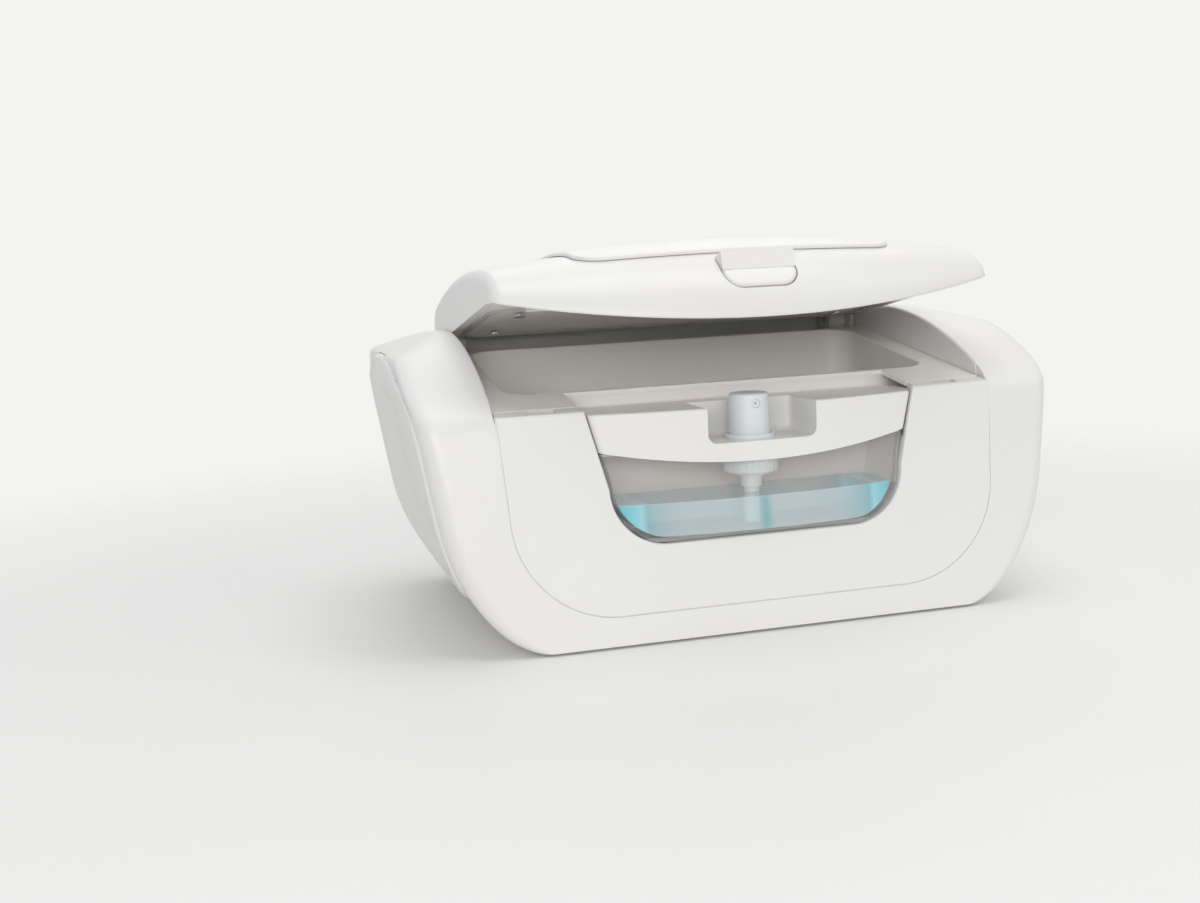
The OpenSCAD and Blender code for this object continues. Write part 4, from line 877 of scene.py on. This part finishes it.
def lid_top_plate():
    """The raised plate. Its edge rolls down to the lid."""
    half = PLATE_W / 2
    u = np.sin(np.radians(89 * np.linspace(-1, 1, 91)))
    e = np.clip((np.minimum(np.abs(u), 0.995) - 0.84) / 0.16, 0, 1) ** 2
    pick = 1.2 * (1 - np.sqrt(1 - 0.98 * e))
    r, rings = 1.3, []
    v = (1 - np.cos(np.pi * np.linspace(0, 1, 73))) / 2
    for ui, p in zip(u, pick):
        x = half * ui
        t0, t1 = 5 + p, FACE_N + CROWN_N + 0.4 - p
        t = t0 + (t1 - t0) * v
        base = lid_points(x, t)
        run = np.concatenate([[0], np.cumsum(np.linalg.norm(np.diff(base, axis=0), axis=1))])
        near = np.minimum(np.minimum(run, run[-1] - run), half - abs(x))
        f = np.clip(near / r, 0, 1)
        lift = PLATE_GAP + PLATE_T * (0.35 + 0.65 * np.sqrt(1 - (1 - f) ** 2))
        top, low = moved(base, -lift), moved(base, -PLATE_GAP)
        rings.append(across(np.concatenate([top, low[::-1]]), x))
    return loft("plate", rings)


def lid_liner():
    half, back = LID_HALF - END_WALL - 0.3, HINGE_Y - KNUCKLE - 2
    ob = loft("liner", [level(rect(d - half, rim_u(-71) + d, half - d, rim_u(back) - d, 6 - d, 10), z)
                        for d, z in ((0.5, 1.2), (0.15, 1.35), (0, 1.7), (0, 3.0))])
    for x in (-98, 0, 98):
        cut(ob, prism(rect(x - 4, rim_u(back) - 9.2, x + 4, rim_u(back) - 6.8, 1.1, 6), 0, 5))
    ob.data.transform(RIM)
    for at in LID_SCREWS:
        cut(ob, rod(1.6, 0, FAR, at=at, n=32))
    return ob


def lid_seal():
    """A soft lip seal with a rounded foot."""
    back = HINGE_Y - KNUCKLE - 2

    def area(d):
        return rect(-TUB_W / 2 - 2 - d, rim_u(-TUB_FRONT - 1.5 - d), TUB_W / 2 + 2 + d,
                    rim_u(min(TUB_REAR + 1.5 + d, back - 0.5)), TUB_R + d, 14)

    lip_line = ((0.05, 1.15), (0.05, 0.6), (0.5, 0.18), (1.25, 0.1), (2.0, 0.18), (2.45, 0.6), (2.45, 1.15))
    ob = loft("seal", [level(area(d), z) for d, z in lip_line], True)
    ob.data.transform(RIM)
    return ob


def helix(x, z, y0, y1, r, wire, turns):
    n = turns * 20
    a = np.linspace(0, 2 * pi * turns, n + 1)
    flat = np.clip(np.minimum(a, a[-1] - a) / (2 * pi), 0, 1)
    y = np.interp(np.cumsum(flat), [0, flat.sum()], [y0 + wire, y1 - wire])
    return tube("spring", np.stack([x + (r - wire) * np.cos(a), y, z + (r - wire) * np.sin(a)], 1), wire, 10)


def upright(ob):
    ob.data.transform(Matrix.Translation((0, -PUMP_Y, 0)) @ Matrix.Rotation(pi / 2, 4, "X"))
    return ob


def plunger():
    """The pump's stem, with a cupped piston that comes down over the spring."""
    r, cup, inner, z = STEM_D / 2, PISTON_D / 2, PISTON_D / 2 - 0.62, PISTON_Z
    top = z + PISTON_CUP
    return lathe("stem", [(0, top), (inner - 0.1, top), (inner, top - 0.1), (inner, z), (cup - 0.15, z),
                          (cup, z + 0.2), (cup, z + 4), (cup - 0.3, z + 4.3), (r + 0.5, z + 4.3),
                          (r, z + 4.8), (r, STEM_TOP), (0, STEM_TOP)], 64)


# Materials
def nodes_of(name):
    mat = bpy.data.materials.new(name)
    mat.use_nodes = True
    return mat, mat.node_tree.nodes["Principled BSDF"], node(mat.node_tree, "TexCoord")


def link(a, out, b, inp): a.id_data.links.new(a.outputs[out], b.inputs[inp])


def node(tree, kind, **values):
    n = tree.nodes.new("ShaderNode" + kind)
    for key, value in values.items():
        n.inputs[key.replace("_", " ")].default_value = value
    return n


def noise(coord, scale, detail=3.0, rough=0.5, out="Object"):
    n = node(coord.id_data, "TexNoise", Scale=scale, Detail=detail, Roughness=rough)
    link(coord, out, n, "Vector")
    return n


def tint(src, out, bsdf, stops):
    """Colours a material by a value, over stops of place and colour."""
    r = node(bsdf.id_data, "ValToRGB")
    ends = r.color_ramp.elements
    ends[0].position, ends[0].color = stops[0][0], (*stops[0][1], 1)
    ends[1].position, ends[1].color = stops[-1][0], (*stops[-1][1], 1)
    for pos, col in stops[1:-1]:
        ends.new(pos).color = (*col, 1)
    link(src, out, r, "Fac")
    link(r, "Color", bsdf, "Base Color")


def spread(src, out, lo, hi, a=0.35, b=0.65):
    m = node(src.id_data, "MapRange", From_Min=a, From_Max=b, To_Min=lo, To_Max=hi)
    link(src, out, m, "Value")
    return m


def polish(src, bsdf, lo, hi): link(spread(src, "Fac", lo, hi), "Result", bsdf, "Roughness")


def bump(height, depth, into, strength=1.0):
    b = node(height.id_data, "Bump", Distance=depth, Strength=strength)
    link(height, "Fac", b, "Height")
    link(b, "Normal", into, "Normal")
    return b


def moulded(name, colour, rough=0.36, vary=0.02):
    """Moulded plastic with a faint warm drift of colour, uneven polish and a fine grain."""
    mat, bsdf, coord = nodes_of(name)
    drift = noise(coord, 9, 4)
    c = np.array(colour)
    stops = [(0.3, tuple(c * (1 - vary) * (1.0, 0.99, 0.975))), (0.5, tuple(c)),
             (0.72, tuple(np.minimum(1, c * (1 + vary * 0.4))))]
    tint(drift, "Fac", bsdf, stops)
    polish(noise(coord, 55, 5, 0.6), bsdf, rough * 0.86, rough * 1.16)
    fine = bump(noise(coord, 900, 2), 0.00001, bsdf, 0.12)
    bump(noise(coord, 26, 2), 0.0002, fine, 0.06)
    bsdf.inputs["IOR"].default_value = 1.49
    return mat


def metal(name, colour, rough, stretch=(1, 1, 30)):
    """Metal drawn or rolled along one axis."""
    mat, bsdf, coord = nodes_of(name)
    tree = mat.node_tree
    mp = node(tree, "Mapping", Scale=stretch)
    link(coord, "Object", mp, "Vector")
    n = noise(mp, 60, 6, out="Vector")
    c = np.array(colour)
    tint(n, "Fac", bsdf, [(0.3, tuple(c * 0.86)), (0.7, tuple(c))])
    polish(n, bsdf, rough * 0.75, rough * 1.3)
    bump(n, 0.00001, bsdf, 0.4)
    bsdf.inputs["Metallic"].default_value = 1.0
    return mat


def rubber(name, colour, rough=0.72):
    mat, bsdf, coord = nodes_of(name)
    drift, fine = noise(coord, 40, 5), noise(coord, 1500, 3)
    c = np.array(colour)
    tint(drift, "Fac", bsdf, [(0.3, tuple(c * 0.88)), (0.7, tuple(c * 1.05))])
    polish(fine, bsdf, rough * 0.9, min(1, rough * 1.15))
    bump(fine, 0.00004, bsdf, 0.5)
    return mat


def see_through(bsdf, least, most, top=1.0, dry=1.0, deep=None):
    """Clear when looked at squarely, and fuller where the wall is seen edge on.

    top is the share left on level faces, dry the factor above the waterline, and deep a node
    whose value makes it full. Lamps shine through more than the eye sees through.
    """
    tree = bsdf.id_data
    tilt = node(tree, "LayerWeight", Blend=0.35)
    share = spread(tilt, "Facing", least, most, 0.15, 1.0), "Result"
    shape, parts = node(tree, "NewGeometry"), node(tree, "SeparateXYZ")
    link(shape, "Normal", parts, "Vector")
    share = merged("MULTIPLY", share, (spread(parts, "Z", 1.0, top, 0.6, 0.95), "Result"))
    where, height = node(tree, "TexCoord"), node(tree, "SeparateXYZ")
    link(where, "Object", height, "Vector")
    top_z = WATER_Z / 1000
    share = merged("MULTIPLY", share, (spread(height, "Z", 1.0, dry, top_z - 0.001, top_z), "Result"))
    if deep:
        share = merged("MAXIMUM", share, (spread(deep, "Result", 0.0, 0.94), "Result"))
    path = node(tree, "LightPath")
    share = merged("MULTIPLY", share, (spread(path, "Is Shadow Ray", 1.0, 0.2, 0.0, 1.0), "Result"))
    link(*share, bsdf, "Alpha")


def merged(how, one, two):
    m = node(one[0].id_data, "Math")
    m.operation, m.use_clamp = how, True
    link(*one, m, 0)
    link(*two, m, 1)
    return m, "Value"


def clear(name, colour, rough, least, most, dry=1.0):
    """Clear plastic with a faint ripple and a slightly uneven polish."""
    mat, bsdf, coord = nodes_of(name)
    c = np.array(colour)
    drift = noise(coord, 14, 3)
    tint(drift, "Fac", bsdf, [(0.35, tuple(c * 0.97)), (0.65, tuple(c))])
    polish(drift, bsdf, rough * 0.8, rough * 1.2)
    bump(noise(coord, 35, 2), 0.0002, bsdf, 0.05)
    bsdf.inputs["IOR"].default_value = 1.55
    see_through(bsdf, least, most, dry=dry)
    return mat


def water_tint(name):
    """Blue water: pale in the middle and deeper at the tank's ends, with a painted refraction of the dip tube
    as a deeper streak beside it.
    """
    mat, bsdf, coord = nodes_of(name)
    tree = mat.node_tree
    parts = node(tree, "SeparateXYZ")
    link(coord, "Object", parts, "Vector")

    def away(middle, near, far, lo, hi):
        off, size = node(tree, "Math"), node(tree, "Math")
        off.operation, size.operation = "SUBTRACT", "ABSOLUTE"
        off.inputs[1].default_value = middle
        link(parts, "X", off, 0)
        link(off, "Value", size, 0)
        out = spread(size, "Value", lo, hi, near, far)
        out.interpolation_type = "SMOOTHSTEP"
        return out

    ends = away(0.0, 0.034, 0.068, 0.0, 1.0)
    # A deeper cyan streak just beside the dip tube: a painted refraction of the tube, set by place in the
    # water.
    painted_refraction = away(0.0005, 0.0002, 0.0045, 0.60, 0.0)
    deep = merged("MAXIMUM", (ends, "Result"), (painted_refraction, "Result"))
    tints = [(0.0, WATER_MID), (0.5, WATER_SIDE_AND_REFRACTION), (1.0, WATER_END)]
    tint(*deep, bsdf, tints)
    drift = noise(coord, 30, 2)
    polish(drift, bsdf, 0.05, 0.10)
    bump(drift, 0.0003, bsdf, 0.08)
    bsdf.inputs["IOR"].default_value = 1.33
    see_through(bsdf, 0.55, 0.85, top=0.3, deep=ends)
    return mat


def felt(name, colour):
    mat, bsdf, coord = nodes_of(name)
    n = noise(coord, 700, 8, 0.7)
    c = np.array(colour)
    tint(n, "Fac", bsdf, [(0.3, tuple(c * 0.75)), (0.7, tuple(c))])
    bump(n, 0.0003, bsdf)
    bsdf.inputs["Roughness"].default_value = 0.95
    bsdf.inputs["Sheen Weight"].default_value = 0.3
    return mat


def board(name):
    """Coated laminate with faint copper traces under the coat."""
    mat, bsdf, coord = nodes_of(name)
    tree = mat.node_tree
    br = node(tree, "TexBrick", Scale=90, Mortar_Size=0.03, Color1=(0.035, 0.16, 0.075, 1),
              Color2=(0.045, 0.19, 0.09, 1), Mortar=(0.09, 0.30, 0.14, 1))
    link(coord, "Object", br, "Vector")
    link(br, "Color", bsdf, "Base Color")
    polish(noise(coord, 120, 4), bsdf, 0.25, 0.4)
    return mat


WHITE = (0.84, 0.835, 0.825)
# The second water colour is halfway towards the ends, and is also the colour of the painted refraction beside
# the dip tube.
WATER_MID, WATER_SIDE_AND_REFRACTION, WATER_END = (0.78, 0.92, 0.97), (0.42, 0.80, 0.88), (0.10, 0.60, 0.72)
M = {
    "shell_white": moulded("shell_white", WHITE, 0.34),
    "cap_white": moulded("cap_white", (0.86, 0.855, 0.845), 0.32),
    "inner_white": moulded("inner_white", (0.91, 0.895, 0.875), 0.38),
    "tub_white": moulded("tub_white", (0.93, 0.902, 0.868), 0.42, vary=0.03),
    "foot_rubber": rubber("foot_rubber", (0.13, 0.133, 0.137)),
    "seal_rubber": rubber("seal_rubber", (0.50, 0.50, 0.49), 0.62),
    "steel": metal("steel", (0.62, 0.63, 0.65), 0.28),
    "switch_steel": metal("switch_steel", (0.55, 0.56, 0.58), 0.34, (1, 1, 1)),
    "heater_alloy": metal("heater_alloy", (0.72, 0.73, 0.74), 0.4, (1, 24, 1)),
    "fuse_alloy": metal("fuse_alloy", (0.66, 0.66, 0.63), 0.3, (24, 1, 1)),
    "film_amber": moulded("film_amber", (0.52, 0.22, 0.035), 0.22, vary=0.12),
    "pad_grey": felt("pad_grey", (0.62, 0.62, 0.64)),
    "board_green": board("board_green"),
    "parts_black": moulded("parts_black", (0.02, 0.02, 0.022), 0.5, vary=0.2),
    "jack_black": moulded("jack_black", (0.016, 0.016, 0.018), 0.24, vary=0.2),
    "lead_red": moulded("lead_red", (0.42, 0.015, 0.012), 0.36, vary=0.08),
    "lead_white": moulded("lead_white", (0.78, 0.78, 0.75), 0.36),
    "tank_clear": clear("tank_clear", (0.90, 0.87, 0.84), 0.05, 0.07, 0.45, dry=2.2),
    "water_blue": water_tint("water_blue"),
    "pump_white": moulded("pump_white", (0.80, 0.845, 0.87), 0.30),
    "tube_clear": clear("tube_clear", (0.90, 0.91, 0.91), 0.15, 0.80, 0.97),
}


# Pieces made here, each in the place of its solid
def place_all():
    dress(outer_shell(), "housing", "base", "shell_white", "outer_shell")
    dress(front_panel(), "panel", "base", "shell_white", "front_panel")
    right = side_cap()
    left = mirrored(right)
    dress(right, "dish_right", "base", "shell_white", "side_cap_right", angle=40)
    dress(left, "dish_left", "base", "shell_white", "side_cap_left", angle=40)
    dress(base_plate(), "underside", "base", "shell_white", "base_plate")
    for a, y in zip(("front", "rear"), FOOT_YS):
        for b, x in (("left", -FOOT_X), ("right", FOOT_X)):
            dress(foot(x, y), f"pad_{a}_{b}", "base", "foot_rubber", f"foot_{a}_{b}")
    screws = [screw(s * BASE_SCREW_X, y, BASE_Z + 0.05, 9) for s in (-1, 1) for y in BASE_SCREW_YS]
    dress(join("screws_base", screws), "screws_base", "base", "steel", "base_screws")
    dress(wipe_tub(), "compartment", "base", "tub_white", "wipe_tub")
    dress(tank_well(), "tank_bay", "base", "tub_white", "tank_well")
    dress(water_tank(), "tank", "base", "tank_clear", "water_tank")
    dress(water(), "water_fill", "base", "water_blue", "water")
    dress(tank_gasket(), "gasket", "base", "seal_rubber", "tank_gasket")
    dress(tank_cap(), "cap", "base", "cap_white", "tank_cap")
    dress(pump_collar(), "collar", "base", "pump_white", "pump_collar")
    dress(dip_tube(), "tube", "base", "tube_clear", "dip_tube")
    dress(mist_nozzle(), "nozzle_head", "nozzle", "pump_white", "mist_nozzle")
    dress(nozzle_insert(), "nozzle_jet", "nozzle", "pump_white", "nozzle_insert")
    dress(plunger(), "plunger", "nozzle", "pump_white", "pump_stem")
    coil = helix(0, 0, COLLAR_Z + 0.06, PISTON_Z - 0.06, 4.15, 0.3, 5)
    dress(upright(coil), "spring_pump", "base", "steel", "pump_spring")
    dress(lid_shell(), "lid_cover", "lid", "shell_white", "lid_shell", IN_LID)
    dress(lid_top_plate(), "lid_plate", "lid", "shell_white", "lid_top_plate", IN_LID, 60)
    dress(lid_liner(), "liner", "lid", "tub_white", "lid_liner", IN_LID)
    dress(lid_seal(), "seal", "lid", "seal_rubber", "lid_seal", IN_LID, 50)
    screws = [screw(x, y, rim_at(y) - 1.0, 12) for x, y in LID_SCREWS]
    dress(join("screws_lid", screws), "screws_lid", "lid", "steel", "lid_screws", IN_LID)
    gx, gz = BUTTON_W / 2 - 4, NOZZLE_Z - 0.7
    springs = [helix(s * gx, gz, -89.2, -81.55, 2.6, 0.28, 6) for s in (-1, 1)]
    dress(join("springs_button", springs), "springs_button", "lid", "steel", "button_springs", IN_LID)
    dress(latch_button(), "button_tab", "button", "cap_white", "latch_button", IN_LID, 40)


place_all()
kept = {
    "heater_plate": "heater_alloy", "heater_film": "film_amber", "insulation_pad": "pad_grey",
    "thermostat": "switch_steel", "thermal_fuse": "fuse_alloy", "control_board": "board_green",
    "board_parts": "parts_black", "board_screws": "steel", "dc_jack": "jack_black", "jack_lead": "lead_red",
    "heater_lead": "lead_white", "hinge_pin_left": "steel", "hinge_pin_right": "steel",
    "pump_cylinder": "pump_white",
    "pump_presser": "tub_white", "latch_guide": "tub_white", "latch_bar": "inner_white",
}
for name, slot in kept.items():
    smoothed(nodes[name], slot, 30)


# Floor, light and camera
def stage():
    n, r = 96, 9.0
    a = np.arange(n) * 2 * pi / n
    mesh = bpy.data.meshes.new("floor")
    mesh.from_pydata([(r * cos(t), r * sin(t), 0) for t in a], [], [list(range(n))])
    floor = shown("floor", mesh)
    mat, bsdf, coord = nodes_of("floor_pale")
    tree = mat.node_tree
    drift = noise(coord, 3, 3)
    tint(drift, "Fac", bsdf, [(0.3, (0.90, 0.895, 0.885)), (0.7, (0.92, 0.915, 0.905))])
    bsdf.inputs["Roughness"].default_value = 0.55
    bsdf.inputs["Specular IOR Level"].default_value = 0.25
    length = node(tree, "VectorMath")
    length.operation = "LENGTH"
    link(coord, "Object", length, 0)
    fade = spread(length, "Value", 0.0, 1.0, 0.20, 0.70)
    fade.interpolation_type = "SMOOTHSTEP"
    through, mix = node(tree, "BsdfTransparent"), node(tree, "MixShader")
    link(fade, "Result", mix, 0)
    link(bsdf, "BSDF", mix, 1)
    link(through, "BSDF", mix, 2)
    link(mix, "Shader", tree.nodes["Material Output"], "Surface")
    mesh.materials.append(mat)

    world = bpy.data.worlds.new("studio")
    bpy.context.scene.world = world
    world.use_nodes = True
    tree = world.node_tree
    back = tree.nodes["Background"]
    back.inputs["Color"].default_value = (0.97, 0.98, 1.0, 1)
    back.inputs["Strength"].default_value = 0.46
    seen = node(tree, "Background", Color=(0.90, 0.895, 0.885, 1), Strength=1.0)
    path = node(tree, "LightPath")
    direct = merged("MAXIMUM", (path, "Is Camera Ray"), (path, "Is Transmission Ray"))
    direct = merged("MAXIMUM", direct, (path, "Is Glossy Ray"))
    mix = node(tree, "MixShader")
    link(*direct, mix, "Fac")
    link(back, "Background", mix, 1)
    link(seen, "Background", mix, 2)
    link(mix, "Shader", tree.nodes["World Output"], "Surface")

    def area(name, at, to, size, tall, power, colour=(1, 1, 1)):
        lamp = bpy.data.lights.new(name, "AREA")
        lamp.shape, lamp.size, lamp.size_y, lamp.energy, lamp.color = "ELLIPSE", size, tall, power, colour
        ob = shown(name, lamp)
        ob.location = at
        ob.rotation_euler = (Vector(to) - Vector(at)).to_track_quat("-Z", "Y").to_euler()

    area("key", (0.9, -0.7, 1.0), (0, 0, 0.07), 0.8, 0.8, 1.6, (1, 0.985, 0.96))
    area("back", (0.35, 1.1, 1.1), (0, 0, 0.1), 1.2, 1.2, 2.4, (1, 0.98, 0.95))
    area("top", (0.1, -0.1, 1.5), (0, 0, 0.1), 1.2, 1.2, 7.0)
    area("front", (-0.42, -1.25, 0.36), (0, 0, 0.1), 1.1, 0.32, 5.4, (1, 0.99, 0.97))


stage()
cam = bpy.data.cameras.new("camera")
cam.lens, cam.sensor_width, cam.clip_start = 41.873, 36.0, 0.01
camera = shown("camera", cam)
camera.location = (-0.22013, -0.64247, 0.16505)
camera.rotation_euler = tuple(radians(v) for v in (82.1581, 2.7519, -15.0979))
bpy.context.scene.camera = camera
bpy.context.scene.view_settings.view_transform = "Standard"
